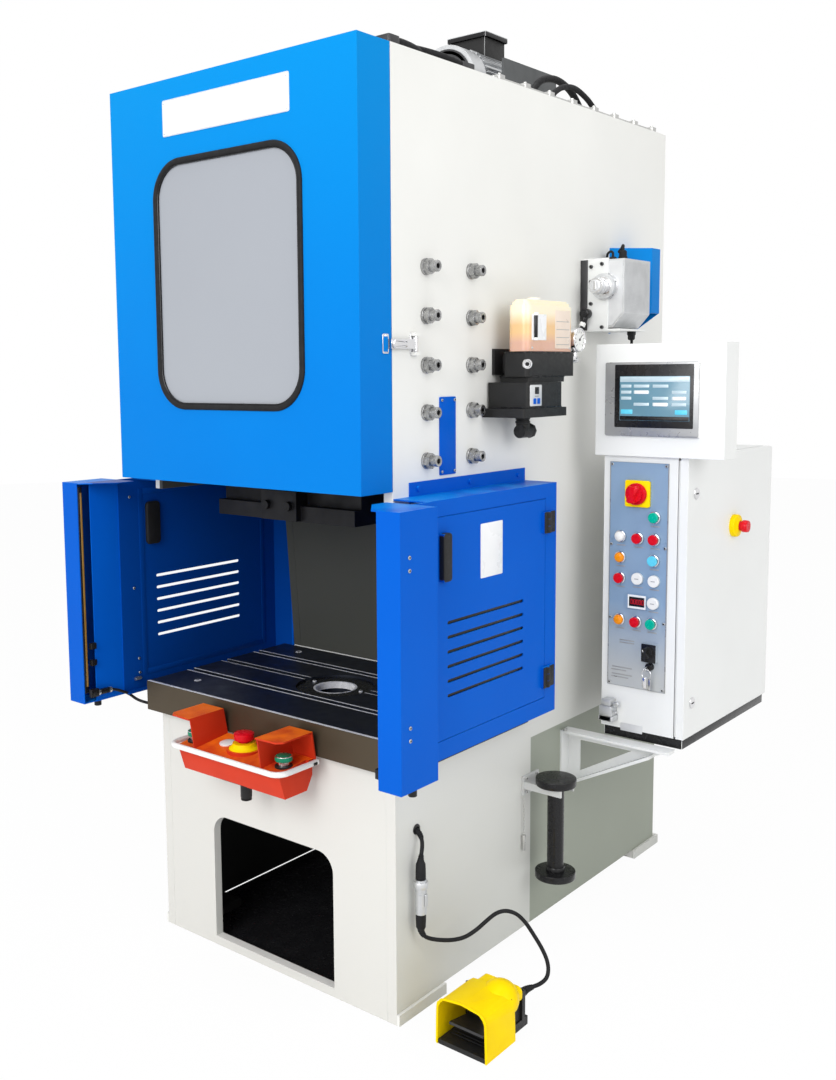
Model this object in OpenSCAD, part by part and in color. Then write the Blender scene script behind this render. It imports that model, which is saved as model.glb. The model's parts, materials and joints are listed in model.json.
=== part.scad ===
/* [Frame] */
// Width over the two side plates
frame_width = 832; // [800:1:860]
// Height of the side plates' top edge above the floor
frame_height = 2278; // [2270:1:2320]
// Depth of the side plates, front to back
frame_depth = 1362; // [1356:1:1400]
// Thickness of the side plates
plate_t = 28; // [24:1:30]

/* [Die space] */
// Height of the bolster's top face above the floor
bolster_z = 709; // [700:1:712]
// Thickness of the bolster
bolster_t = 82; // [72:1:82]
// Width of the bolster
bolster_width = 900; // [880:1:920]
// Depth of the bolster
bolster_depth = 555; // [540:1:555]
// Diameter of the drop hole through the bolster
drop_hole = 110; // [80:1:130]
// Width of the T-slots
slot_width = 22; // [18:1:24]

/* [Slide drive] */
// Stroke of the slide
stroke = 80; // [60:2:90]
// Height of the crankshaft's axis
crank_z = 1960; // [1950:1:1965]
// Width of the slide
ram_width = 480; // [440:2:500]
// Diameter of the tool shank bore in the slide
shank_bore = 50; // [40:1:60]
// Diameter of the flywheel
flywheel_d = 560; // [520:2:560]

/* [Front cover] */
// Depth of the front cover
cover_depth = 113; // [100:1:120]
// Height of the cover's lower edge
cover_z = 1289; // [1285:1:1300]
// Width of the window opening
window_w = 480; // [420:2:490]
// Height of the window opening
window_h = 586; // [520:2:600]

/* [Controls] */
// Height of the electrical cabinet
cabinet_h = 760; // [740:1:765]
// Diameter of the push buttons' caps
button_d = 22; // [20:0.5:24]
// Travel left under a push button's cap
button_gap = 4; // [3.5:0.1:5]

/* [Hidden] */
$fn = 64;
front_y = -frame_depth / 2;   // the frame's front face, seen from the anchor holes' centre
hw = frame_width / 2;         // outer face of a side plate
iw = hw - plate_t;            // inner face of a side plate
base_z = 28;                  // thickness of the foot pads
sill_z = 24;                  // lower edge of the scrap opening
bed_z = bolster_z - bolster_t;
throat_z = 1250;              // ceiling of the throat
ram_y = 212;                  // centre of the slide, from the frame's front face
drop_y = 262;                 // centre of the drop hole and of the shank bore
ecc = stroke / 4;             // each of the two eccentricities
run = 0.05;                   // radial running clearance
ram_z = 1186;                 // lower face of the slide at top dead centre
ram_top = 1840;
pin_d = 160;
journal_d = 130;
bush_d = 220;
motor_z = 2400;
motor_y = 780;
pulley_d = 112;
start_x = 157;                // centre of a start button on the console
start_y = -106;
guard_x = 515;                // outer face of a side guard
guard_top = 1273;
guard_bot = 668;
door_y0 = 22;
door_y1 = 500;
door_z0 = 714;
door_z1 = 1234;
hinge_zs = [741, 1147];       // lower ends of the guard doors' hinges
post_top = 1273;
cab_x0 = 521;
cab_x1 = 765;
cab_y0 = 802;
cab_y1 = 1393;
cab_z0 = 569;
panel_y = 799;                // face of the operator panel
slot_ys = [137, 270, 404];
lock_zs = [662, 1232];
gib_rows = [1353, 1466, 1576, 1690, 1802];
gib_cols = [125, 308];

steel = [0.62, 0.63, 0.65];
dark = [0.16, 0.16, 0.17];
white = [0.93, 0.93, 0.91];
blue = [0.02, 0.30, 0.85];
black = [0.05, 0.05, 0.055];

// everything below is written from the frame's front face
module at_front() translate([0, front_y, 0]) children();
module box(x0, x1, y0, y1, z0, z1) translate([x0, y0, z0]) cube([x1 - x0, y1 - y0, z1 - z0]);
module rod_x(x0, x1, y, z, d) translate([x0, y, z]) rotate([0, 90, 0]) cylinder(d = d, h = x1 - x0);
module rod_y(x, y0, y1, z, d) translate([x, y0, z]) rotate([-90, 0, 0]) cylinder(d = d, h = y1 - y0);
module rod_z(x, y, z0, z1, d) translate([x, y, z0]) cylinder(d = d, h = z1 - z0);
module hex_x(x0, x1, y, z, af) translate([x0, y, z]) rotate([0, 90, 0]) cylinder(d = af / cos(30), h = x1 - x0, $fn = 6);
module both() { children(); mirror([1, 0, 0]) children(); }

// a plate in the XZ plane with rounded corners, from y0 to y1
module soft_panel(x0, x1, z0, z1, y0, y1, r) {
    box(x0 + r, x1 - r, y0, y1, z0, z1);
    box(x0, x1, y0, y1, z0 + r, z1 - r);
    for (x = [x0 + r, x1 - r], z = [z0 + r, z1 - r]) rod_y(x, y0, y1, z, 2 * r);
}
// an upright block with rounded vertical edges
module soft_block(x0, x1, y0, y1, z0, z1, r) {
    box(x0 + r, x1 - r, y0, y1, z0, z1);
    box(x0, x1, y0 + r, y1 - r, z0, z1);
    for (x = [x0 + r, x1 - r], y = [y0 + r, y1 - r]) rod_z(x, y, z0, z1, 2 * r);
}
// one side plate, drawn flat in Y and Z and stood up at x0
module side_plate(x0) {
    difference() {
        translate([x0, 0, 0]) rotate([90, 0, 90]) linear_extrude(plate_t)
            polygon([[0, base_z], [frame_depth, base_z], [frame_depth, frame_height], [0, frame_height],
                     [0, throat_z], [400, throat_z], [506, 1144], [545, bed_z], [0, bed_z]]);
        for (y = gib_cols, z = gib_rows) rod_x(x0 - 1, x0 + plate_t + 1, y, z, 24);
    }
}

// the right side plate also carries the latch ears and the cord outlet
module frame_side_right() color(white) at_front() {
    difference() {
        side_plate(iw);
        rod_x(iw - 1, hw + 1, 80, 466, 16);
    }
    for (z = [1598, 1642.3]) box(hw, hw + 15, 68, 86, z, z + 7.7);
}
module frame_side_left() color(white) at_front() side_plate(-hw);

// front plate with the scrap opening, bed, throat wall, front web and top deck, welded between the sides
module frame_crossplates() color(white) at_front() {
    difference() {
        box(-iw, iw, 0, 25, 0, bed_z);
        union() {
            box(-216, 216, -1, 26, sill_z, 322);
            box(-166, 166, -1, 26, 300, 372);
            for (x = [-166, 166]) rod_y(x, -1, 26, 322, 100);
        }
    }
    difference() {
        box(-iw, iw, 25, 545, bed_z - 60, bed_z);
        rod_z(0, drop_y, bed_z - 61, bed_z + 1, 180);
    }
    translate([-iw, 0, 0]) rotate([90, 0, 90]) linear_extrude(2 * iw)
        polygon([[545, bed_z - 60], [571, bed_z - 60], [571, bed_z], [532, 1150], [426, 1276],
                 [400, 1276], [400, 1250], [506, 1144], [545, bed_z]]);
    difference() {
        box(-iw, iw, 372, 400, throat_z, frame_height - 28);
        rod_y(0, 371, 401, crank_z, 230);
    }
    difference() {
        box(-iw, iw, 0.5, frame_depth - 30, frame_height - 28, frame_height);
        box(-180, 180, 1175, 1300, frame_height - 29, frame_height + 1);
    }
    difference() {
        box(-iw, iw, 1090, 1115, 1500, frame_height - 28);
        rod_y(0, 1089, 1116, crank_z, 230);
    }
}
module frame_rear_plate() color(white) at_front() difference() {
    box(-iw, iw, frame_depth - 30, frame_depth - 6, base_z, frame_height - 28.2);
    union() {
        soft_panel(-230, 230, 240, 820, frame_depth - 31, frame_depth - 5, 60);
        for (k = [0 : 5]) box(-200, 200, frame_depth - 31, frame_depth - 5, 1700 + 90 * k, 1716 + 90 * k);
    }
}
// four drilled pads under the side plates
module foot_pads() color(white) at_front() {
    both() for (y = [85, frame_depth - 85]) difference() {
        union() {
            box(320, hw + 8, y - 59.7, y + 108, 0, base_z);
            if (y < 100) box(iw + 0.3, hw + 8, 0, 26, 0, base_z);
        }
        rod_z(354, y, -1, base_z + 1, 22);
    }
}

module bolster() color(dark) at_front() difference() {
    box(-bolster_width / 2, bolster_width / 2, -25, bolster_depth - 25, bed_z, bolster_z);
    union() {
        for (y = slot_ys) {
            box(-bolster_width / 2 - 1, bolster_width / 2 + 1, y - slot_width / 2, y + slot_width / 2, bolster_z - 28, bolster_z + 1);
            box(-bolster_width / 2 - 1, bolster_width / 2 + 1, y - slot_width / 2 - 8, y + slot_width / 2 + 8, bolster_z - 44, bolster_z - 28);
        }
        rod_z(0, drop_y, bolster_z - 6, bolster_z + 1, 216);
        rod_z(0, drop_y, bed_z - 1, bolster_z, drop_hole);
        for (x = [-340, 340], y = [66, 478]) rod_z(x, y, bed_z - 1, bolster_z + 1, 22);
    }
}

// bearing tube of the crankshaft, with a bush at each end
module crank_housing() color(steel) at_front() difference() {
    union() {
        rod_y(0, 348, 1140, crank_z, 229.4);
        rod_y(0, 348, 372, crank_z, 300);
    }
    union() {
        rod_y(0, 347, 1141, crank_z, 150);
    }
}
module slide_gibs() color(steel) at_front() both() difference() {
    box(ram_width / 2 + 0.1, iw, 94, 330, 1300, 1856);
    box(ram_width / 2 - 1, ram_width / 2 + 28.1, 169.9, 254.1, 1299, 1857);
}
// washer, hexagon nut and socket screw of each gib adjuster
module gib_bolts() color(steel) at_front() both() for (y = gib_cols, z = gib_rows) difference() {
    union() {
        rod_x(iw, hw + 20, y, z, 20);
        rod_x(hw, hw + 5, y, z, 38);
        hex_x(hw + 5, hw + 20, y, z, 32);
        rod_x(hw + 20, hw + 37, y, z, 26);
    }
    hex_x(hw + 27, hw + 38, y, z, 12);
}

// journals, front flange and eccentric pin
module crankshaft() color(steel) at_front() {
    rod_y(0, 346, 1330, crank_z, journal_d);
    rod_y(0, 318, 346, crank_z, 210);
    rod_y(0, 128, 318, crank_z + ecc, pin_d);
    rod_y(0, 112, 128, crank_z + ecc, 190);
    for (y = [420, 1040]) rod_y(0, y, y + 90, crank_z, 150 - 2 * run);
}
module eccentric_bush() color([0.72, 0.58, 0.30]) at_front() difference() {
    union() {
        rod_y(0, 130, 308, crank_z + 2 * ecc, bush_d);
        rod_y(0, 308, 316, crank_z + 2 * ecc, bush_d + 20);
    }
    rod_y(0, 129, 317, crank_z + ecc, pin_d + 2 * run);
}
// big end, shank and adjusting screw, standing on the slide's ball seat
module connecting_rod() color(steel) at_front() difference() {
    union() {
        rod_y(0, 140, 306, crank_z + 2 * ecc, 290);
        box(-50, 50, 165, 281, 1745, crank_z + 2 * ecc - 60);
        rod_z(0, ram_y + 11, 1640, 1745, 84);
        rod_z(0, ram_y + 11, 1690, 1720, 128);
        rod_z(0, ram_y + 11, 1600, 1640, 128);
        for (s = [-1, 1], z = [-44, 44]) rod_z(s * 118, ram_y + 11, crank_z + 2 * ecc - 60, crank_z + 2 * ecc + 62, 30);
    }
    rod_y(0, 139, 307, crank_z + 2 * ecc, bush_d + 2 * run);
}
// slide: body with the seat pocket, guide ears, lower plate and shank clamp
module ram() color([0.45, 0.46, 0.48]) at_front() difference() {
    union() {
        box(-ram_width / 2, ram_width / 2, 96, 328, ram_z + 40, ram_top);
        both() box(ram_width / 2 - 2, ram_width / 2 + 28, 170, 254, ram_z + 70, ram_top);
        box(-ram_width / 2, ram_width / 2, 70, 404, ram_z, ram_z + 40);
        box(-62, 62, 52, 96, ram_z + 2, ram_z + 78);
        both() rod_y(38, 40, 52, ram_z + 40, 24);
    }
    union() {
        rod_z(0, ram_y + 11, 1600, ram_top + 1, 176);
        rod_z(0, drop_y, ram_z - 1, ram_z + 70, shank_bore);
        box(-180, 180, 95, 126, 1560, ram_top + 1);
        for (x = [-180, 180], y = [150, 374]) rod_z(x, y, ram_z - 1, ram_z + 30, 14);
    }
}
// rim with three belt grooves' land, web and hub
module flywheel() color([0.30, 0.31, 0.33]) at_front() difference() {
    union() {
        difference() {
            rod_y(0, 1190, 1290, crank_z, flywheel_d);
            union() {
                rod_y(0, 1189, 1222, crank_z, flywheel_d - 80);
                rod_y(0, 1258, 1291, crank_z, flywheel_d - 80);
            }
        }
        rod_y(0, 1172, 1308, crank_z, 220);
    }
    union() {
        rod_y(0, 1171, 1309, crank_z, journal_d + 2 * run);
        for (k = [0 : 5]) rotate([0, 0, 0]) translate([0, 0, crank_z]) rotate([0, 60 * k, 0])
            translate([175, 1215, 0]) rotate([-90, 0, 0]) cylinder(d = 66, h = 50);
    }
}

// finned motor with its fan cowl and terminal box
module motor() color([0.66, 0.67, 0.68]) at_front() {
    rod_y(0, motor_y, motor_y + 62, motor_z, 206);
    rod_y(0, motor_y + 62, motor_y + 330, motor_z, 190);
    rod_y(0, motor_y + 330, motor_y + 352, motor_z, 214);
    rod_y(0, motor_y + 352, motor_y + 366, motor_z, 120);
    for (k = [0 : 23]) translate([0, motor_y + 70, motor_z]) rotate([0, 15 * k + 7.5, 0]) box(88, 106, 0, 250, -1.6, 1.6);
    both() box(48, 96, motor_y + 90, motor_y + 300, frame_height + 14, motor_z - 60);
    box(-62, 62, motor_y + 112, motor_y + 218, motor_z + 80, motor_z + 140);
    box(-69, 69, motor_y + 106, motor_y + 224, motor_z + 140, motor_z + 155);
}
module motor_pulley() color(dark) at_front() difference() {
    union() {
        rod_y(0, 1194, 1286, motor_z, pulley_d);
        rod_y(0, motor_y + 366.3, 1194, motor_z, 38);
    }
    rod_y(0, 1270, 1287, motor_z, 60);
}
// hinged plate under the motor with its side cheek
module motor_base() color(dark) at_front() {
    box(-170, 170, motor_y + 40, motor_y + 372, frame_height, frame_height + 14);
    box(156, 164, motor_y + 60, motor_y + 350, frame_height + 14, motor_z + 52);
    rod_x(-190, 190, motor_y + 372, frame_height + 12, 24);
}

// folded sheet box with the window, hinged on its left edge
module front_cover() color(blue) at_front() {
    y1 = -1;
    y0 = y1 - cover_depth + 1;
    wz = (1475 + 2084) / 2;
    difference() {
        box(-hw, hw, y0, y1, cover_z, frame_height);
        union() {
            box(-hw + 3, hw - 3, y0 + 3, y1 + 1, cover_z + 3, frame_height - 3);
            soft_panel(-window_w / 2, window_w / 2, wz - window_h / 2, wz + window_h / 2, y0 - 1, y0 + 4, 84);
        }
    }
    for (z = [1380, 1790, 2170]) {
        rod_z(-hw - 9, -8, z, z + 70, 14);
        box(-hw - 9, -hw + 0.5, -13, -9, z, z + 70);
    }
    box(hw - 0.5, hw + 5, -32, -20, 1606, 1640);
}
module window_pane() color([0.68, 0.69, 0.72]) at_front() {
    wz = (1475 + 2084) / 2;
    y0 = -cover_depth + 3;
    soft_panel(-window_w / 2 - 12, window_w / 2 + 12, wz - window_h / 2 - 12, wz + window_h / 2 + 12, y0, y0 + 5, 90);
}
// draw latch: base block on the side plate, lever and hook in one turned-out piece
module latch_lever() color(steel) at_front() {
    rod_z(hw + 9, 76, 1608, 1640, 10);
    box(hw + 6, hw + 11, 0, 76, 1613, 1635);
    box(hw + 3, hw + 11, -16, 0, 1613, 1635);
}

// outer sheet with the door opening, top, rear return, wall flange and lower lip
module guard_shell() {
    difference() {
        box(guard_x - 3, guard_x, -55, 556, guard_bot, guard_top);
        box(guard_x - 4, guard_x + 1, door_y0 - 2, door_y1 + 2, door_z0 - 2, door_z1 + 2);
    }
    box(hw, guard_x - 3, 0, 556, guard_top - 3, guard_top);
    box(hw, guard_x - 3, 553, 556, guard_bot, guard_top - 3);
    box(hw, hw + 3, 58, 556, guard_top - 15, 1306);
    box(guard_x - 24, guard_x - 3, -55, 556, guard_bot, guard_bot + 3);
    box(hw, hw + 3, 535, 556, guard_bot, guard_top - 15);
    for (y = [90, 300, 520]) rod_x(hw + 3, hw + 8, y, 1290, 13);
    for (z = hinge_zs) box(guard_x, guard_x + 6, 512.5, 538, z, z + 54);
}
module side_guard_right() color(blue) at_front() guard_shell();
module side_guard_left() color(blue) at_front() mirror([1, 0, 0]) guard_shell();

// slotted door with its grip plate and hinge knuckles
module guard_door() {
    difference() {
        box(guard_x - 2.5, guard_x + 0.5, door_y0, door_y1, door_z0, door_z1);
        for (k = [0 : 5]) {
            box(guard_x - 4, guard_x + 2, 76, 394, 810 + 34.5 * k, 818 + 34.5 * k);
            for (y = [76, 394]) rod_x(guard_x - 4, guard_x + 2, y, 814 + 34.5 * k, 8);
        }
    }
    for (z = hinge_zs) {
        rod_z(guard_x + 7, 506, z, z + 54, 12);
        box(guard_x + 0.5, guard_x + 8, 485, 507, z, z + 54);
    }
    box(guard_x + 0.5, guard_x + 14, 40, 72, 1087, 1197);
    box(guard_x - 14, guard_x - 2.5, 40, 72, 1087, 1197);
}
module guard_door_right() color(blue) at_front() guard_door();
module guard_door_left() color(blue) at_front() mirror([1, 0, 0]) guard_door();

// folded posts for the light curtain, with their cap plates
module light_posts() color(blue) at_front() both() {
    box(518.3, 582, -187, -184, guard_bot - 3, post_top - 3);
    box(579, 582, -184, -55, guard_bot - 3, post_top - 3);
    box(guard_x + 0.3, 579, -58, -55, guard_bot - 3, post_top - 3);
    box(guard_x + 0.3, 518.3, -148, 8, guard_bot - 3, post_top - 3);
    box(518.3, 579, -184, -58, guard_bot - 3, guard_bot);
    translate([0, 0, post_top - 3]) linear_extrude(3)
        polygon([[582, -187], [582, -55], [518.3, -55], [518.3, 8], [guard_x + 0.3, 8], [guard_x + 0.3, -55.3],
                 [440, -55.3], [440, -106], [505, -187]]);
}

// two-hand console: tray, neck to the frame, rail ears, and a hood over each hand's button
module console_body() color([1.0, 0.36, 0.06]) at_front() {
    difference() {
        union() {
            translate([-180, 0, 0]) rotate([90, 0, 90]) linear_extrude(360)
                polygon([[-30, 580], [-50, 545], [-127, 545], [-146, 604], [-146, 614], [-30, 626]]);
            box(-60, 60, -30, 0, 584, 618);
            both() box(180, 188.7, -52, -34, 604, 624);
            rod_z(0, -86, 612, 625, 88);
            rod_z(0, -86, 625, 640, 56);
        }
        for (x = [-start_x, start_x]) rod_z(x, start_y, 602, 640, 30.4);
        rod_z(0, -86, 621, 641, 26.4);
    }
    both() {
        translate([118, 0, 0]) rotate([90, 0, 90]) linear_extrude(3)
            polygon([[-30, 622], [-146, 611], [-159, 691], [-44, 695]]);
        translate([118, 0, 0]) rotate([90, 0, 90]) linear_extrude(78)
            polygon([[-32.3, 623.6], [-36.3, 623.6], [-48, 692], [-44, 692]]);
        translate([0, 0, 691]) linear_extrude(4)
            polygon([[118, -44], [196, -44], [196, -146], [184, -160], [118, -164]]);
    }
    rod_z(4, -86, 492, 548, 28);
}
// tube hoop round the console, its open ends screwed to the console's ears
module console_rail() color([0.95, 0.95, 0.95]) at_front() {
    z = 616;
    r = 30;
    both() {
        rod_y(196, -134, -29, z, 14);
        translate([196 - r, -134, z]) rotate_extrude(angle = -90) translate([r, 0]) circle(d = 14);
    }
    rod_x(-196 + r, 196 - r, -134 - r, z, 14);
}

// a push button standing along +Z
module cap_z(x, y, z, d, stem, head) {
    rod_z(x, y, z, z + stem, d);
    rod_z(x, y, z + stem, z + stem + head, d * 1.4);
}
module start_button_left() color([0.05, 0.45, 0.22]) at_front() cap_z(-start_x, start_y, 609, 30, 24, 12);
module start_button_right() color([0.05, 0.45, 0.22]) at_front() cap_z(start_x, start_y, 609, 30, 24, 12);
module console_stop_button() color([0.85, 0.05, 0.08]) at_front() {
    rod_z(0, -86, 628, 648, 26);
    rod_z(0, -86, 648, 664, 50);
}

module lubricator_tank() color([0.93, 0.72, 0.42, 0.9]) at_front() {
    soft_block(460, 520, 402, 626, 1608.3, 1722, 18);
    soft_block(465, 515, 407, 621, 1722, 1731, 14);
    soft_block(471, 509, 413, 615, 1731, 1736, 10);
    rod_z(490, 480, 1736, 1742, 34);
}
// pump body with ears, lower motor box, elbow, gauge and fitting
module lubricator_base() color(black) at_front() {
    soft_block(450, 522, 400, 630, 1546, 1608, 10);
    box(hw, 424, 402, 640, 1551, 1616);
    box(424, 450, 440, 600, 1556, 1602);
    soft_block(430, 524, 412, 580, 1532, 1546, 10);
    soft_block(418, 538, 378, 542, 1468, 1532, 8);
    soft_block(hw, 541, 355, 561, 1446, 1468, 6);
    rod_z(470, 462, 1408, 1446, 34);
    rod_y(470, 446, 500, 1408, 34);
    rod_z(500, 664, 1590, 1606, 12);
    rod_y(500, 630, 676, 1588, 16);
    rod_z(500, 664, 1600, 1616, 10);
    rod_x(488, 516, 664, 1640, 62);
}

// plate bracket, rounded gear housing and its rear shield
module cam_switch_bracket() color(white) at_front() {
    box(hw, hw + 6, 846, 1006, 1667, 1866);
    difference() {
        box(hw + 6, 500, 846, 852, 1667, 1866);
        rod_y(492, 845, 853, 1788, 71);
    }
    box(hw + 6, 536, 846, 1004, 1667, 1673);
}
module cam_switch_housing() color([0.86, 0.86, 0.85]) at_front() difference() {
    union() {
        translate([0, 1006, 0]) rotate([90, 0, 0]) linear_extrude(153.7)
            polygon([[446, 1676], [512, 1676], [546, 1714], [546, 1862], [446, 1862]]);
        rod_y(492, 830, 852.5, 1788, 70);
    }
    rod_y(492, 829, 960, 1788, 24 + 2 * run);
}
module cam_switch_guard() color(blue) at_front() difference() {
    translate([0, 0, 1664]) linear_extrude(246) polygon([[hw, 1010], [506, 1100], [506, 1152], [hw, 1152]]);
    union() {
        translate([0, 0, 1600]) linear_extrude(306) polygon([[hw - 1, 1018], [503, 1104], [503, 1149], [hw - 1, 1149]]);
        translate([0, 1200, 0]) rotate([90, 0, 0]) linear_extrude(260) polygon([[hw - 2, 1600], [560, 1600], [560, 1760], [hw - 2, 1664]]);
    }
}
module cam_switch_shaft() color([0.8, 0.8, 0.82]) at_front() {
    rod_y(492, 800, 950, 1788, 24);
    rod_y(492, 790, 822, 1788, 42);
    box(488, 496, 784, 790, 1776, 1800);
}

// open sheet box standing on its plinth
module cabinet_shell() color(white) at_front() {
    z1 = cab_z0 + cabinet_h;
    difference() {
        box(cab_x0, cab_x1 - 28, cab_y0, cab_y1, cab_z0, z1);
        box(cab_x0 + 2, cab_x1 - 27, cab_y0 + 2, cab_y1 - 2, cab_z0 + 2, z1 - 2);
    }
    box(cab_x0 + 6, cab_x1 - 6, cab_y0 + 8, cab_y1 - 12, 541, cab_z0 - 0.5);
    box(cab_x0 + 6, cab_x1 - 40, cab_y0 + 8, cab_y1 - 12, cab_z0 - 0.5, cab_z0);
    box(cab_x0 + 12, cab_x0 + 46, cab_y0 - 34, cab_y0, 592, 632);
}
module cabinet_door() color(white) at_front() {
    z1 = cab_z0 + cabinet_h;
    difference() {
        union() {
            box(cab_x1 - 22, cab_x1, cab_y0, cab_y1 - 4, cab_z0, z1);
            rod_x(cab_x1, cab_x1 + 14, 1108, 1119, 62);
        }
        box(cab_x1 - 23, cab_x1 - 2, cab_y0 + 2, cab_y1 - 6, cab_z0 + 2, z1 - 2);
        rod_x(cab_x1 + 1, cab_x1 + 15, 1108, 1119, 26.4);
        for (z = lock_zs) rod_x(cab_x1 - 3, cab_x1 + 1, cab_y0 + 50, z, 20.2);
    }
    for (z = [640, 1240]) box(cab_x1 - 34, cab_x1 - 22, cab_y1 - 40, cab_y1 - 6, z, z + 40);
}
module cabinet_brackets() color([0.8, 0.81, 0.8]) at_front() for (y = [800, 1320]) {
    difference() {
        translate([0, y, 0]) rotate([90, 0, 0]) linear_extrude(7)
            polygon([[hw, 372], [hw, 541], [746, 541], [690, 512]]);
        translate([0, y + 1, 0]) rotate([90, 0, 0]) linear_extrude(9)
            polygon([[hw + 42, 420], [hw + 42, 512], [620, 512]]);
    }
    box(hw, hw + 6, y - 44, y - 7, 372, 541);
    box(hw + 6, 746, y - 44, y - 7, 534, 541);
    translate([0, y - 7, 0]) rotate([90, 0, 0]) linear_extrude(37)
        polygon([[hw + 6, 374.5], [hw + 6, 382], [688, 520], [690, 512]]);
}
// grey face plate carrying the rings of the push buttons and switches
module control_panel() color([0.52, 0.58, 0.66]) at_front() difference() {
    union() {
        box(541, 711, panel_y, cab_y0, 690, 1312);
        box(590, 660, panel_y - 8, panel_y, 1193, 1263);
        for (p = ring_spots) rod_y(p[0], panel_y - 8, panel_y, p[1], 30);
        box(596, 656, panel_y - 5, panel_y, 912, 952);
        box(648, 690, panel_y - 14, panel_y, 772, 822);
        for (x = [548, 704], z = [698, 860, 1102, 1304]) rod_y(x, panel_y - 2, panel_y, z, 7);
    }
    for (p = button_spots) rod_y(p[0], panel_y - 9, panel_y - 1, p[1], button_d + 0.4);
}
ring_spots = [[676, 1167], [576, 1109], [628, 1107], [676, 1107], [576, 1051], [675, 1050], [576, 994],
              [628, 996], [676, 994], [675, 933], [576, 878], [626, 877], [672, 877]];
button_spots = [[676, 1167], [628, 1107], [676, 1107], [675, 1050], [576, 994], [626, 877], [672, 877]];
module push(k) rod_y(button_spots[k][0], panel_y - 14, panel_y - 1 - button_gap, button_spots[k][1], button_d);

// box of the display on top of the cabinet, with its bezel
module display_housing() color(white) at_front() {
    z1 = cab_z0 + cabinet_h;
    box(500, 866, 786, 866, z1, z1 + 300);
    box(533, 799, 779, 786, z1 + 55, z1 + 251);
}
module main_switch_knob() color([0.85, 0.05, 0.08]) at_front() {
    rod_y(625, panel_y - 30, panel_y - 8.3, 1228, 46);
    box(618, 632, panel_y - 44, panel_y - 30, 1206, 1250);
}
module mode_selector_knob() color(black) at_front() {
    rod_y(669, panel_y - 26, panel_y - 14.3, 800, 30);
    box(665, 673, panel_y - 38, panel_y - 26, 786, 814);
}
module start_motor_button() color([0.0, 0.6, 0.45]) at_front() push(0);
module stop_motor_button() color([0.85, 0.05, 0.08]) at_front() push(1);
module reset_button() color([0.85, 0.05, 0.08]) at_front() push(2);
module fault_button() color([0.15, 0.6, 0.75]) at_front() push(3);
module clutch_button() color([0.85, 0.05, 0.08]) at_front() push(4);
module slide_up_button() color([0.85, 0.1, 0.1]) at_front() push(5);
module slide_down_button() color([0.0, 0.6, 0.5]) at_front() push(6);
module door_stop_button() color([0.85, 0.05, 0.08]) at_front() {
    rod_x(cab_x1 + 8, cab_x1 + 28, 1108, 1119, 26);
    rod_x(cab_x1 + 28, cab_x1 + 44, 1108, 1119, 33);
}
// quarter-turn lock: barrel, driving slot and the cam behind the door
module quarter_turn(z) difference() {
    union() {
        rod_x(cab_x1 - 16, cab_x1 + 0.3, cab_y0 + 50, z, 20);
        rod_x(cab_x1 + 0.3, cab_x1 + 4, cab_y0 + 50, z, 28);
        box(cab_x1 - 16, cab_x1 - 13, cab_y0 + 16, cab_y0 + 50, z - 9, z + 9);
    }
    box(cab_x1 + 2, cab_x1 + 5, cab_y0 + 41, cab_y0 + 59, z - 2, z + 2);
}
module door_lock_upper() color(steel) at_front() quarter_turn(lock_zs[1]);
module door_lock_lower() color(steel) at_front() quarter_turn(lock_zs[0]);

// prop for the die space: tube between two discs
module safety_block() color(black) at_front() {
    rod_z(500, 592, 189, 207, 108);
    rod_z(500, 592, 207, 447, 45);
    rod_z(500, 592, 447, 467, 108);
}
module safety_block_holder() color([0.85, 0.85, 0.84]) at_front() {
    box(hw, hw + 6, 552, 632, 408, 462);
    box(hw + 6, 536, 556, 562, 427, 447);
    box(hw + 6, 536, 622, 628, 427, 447);
}

// base plate, rear block and the housing of the cord's gland
module foot_switch_base() color(black) at_front() {
    box(534.5, 665.5, 6, 123.6, 0, 12);
    box(548, 654, 127.4, 206, 0, 22);
    box(550, 650, 120, 190, 0, 66);
    box(630, 657, 176.5, 190, 22, 96);
    rod_y(646, 190, 200, 82, 18);
}
// section of the hood's front part: walls leaning in to a crowned roof, all set in by t
module hood_section(low, t) polygon([[530 + t, low], [533 + t, 92], [538 + t, 106 - t], [550, 115 - t], [600, 121 - t],
    [650, 115 - t], [662 - t, 106 - t], [667 - t, 92], [670 - t, low]]);
// hood open to the front, with a narrower back and a raised dome over the switch
module foot_switch_hood() color([1.0, 0.82, 0.0]) at_front() difference() {
    union() {
        translate([0, 127, 0]) rotate([90, 0, 0]) linear_extrude(123) hood_section(0, 0);
        soft_panel(546, 657, 69, 107, 120, 176, 14);
        translate([624, 129.5, 88]) sphere(46);
    }
    union() {
        translate([0, 124, 0]) rotate([90, 0, 0]) linear_extrude(122) hood_section(-5, 3);
        box(549, 654, 118, 173, 60, 100);
        translate([624, 129.5, 86]) sphere(42);
        box(540, 680, 127, 180, -1, 69);
        box(549, 651, 123, 128, -1, 72);
    }
}
module foot_pedal() color(dark) at_front() {
    translate([0, 110, 34]) rotate([-10, 0, 0]) box(552, 648, -86, 0, -3, 3);
    rod_x(552, 648, 110, 34, 10);
}

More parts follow.
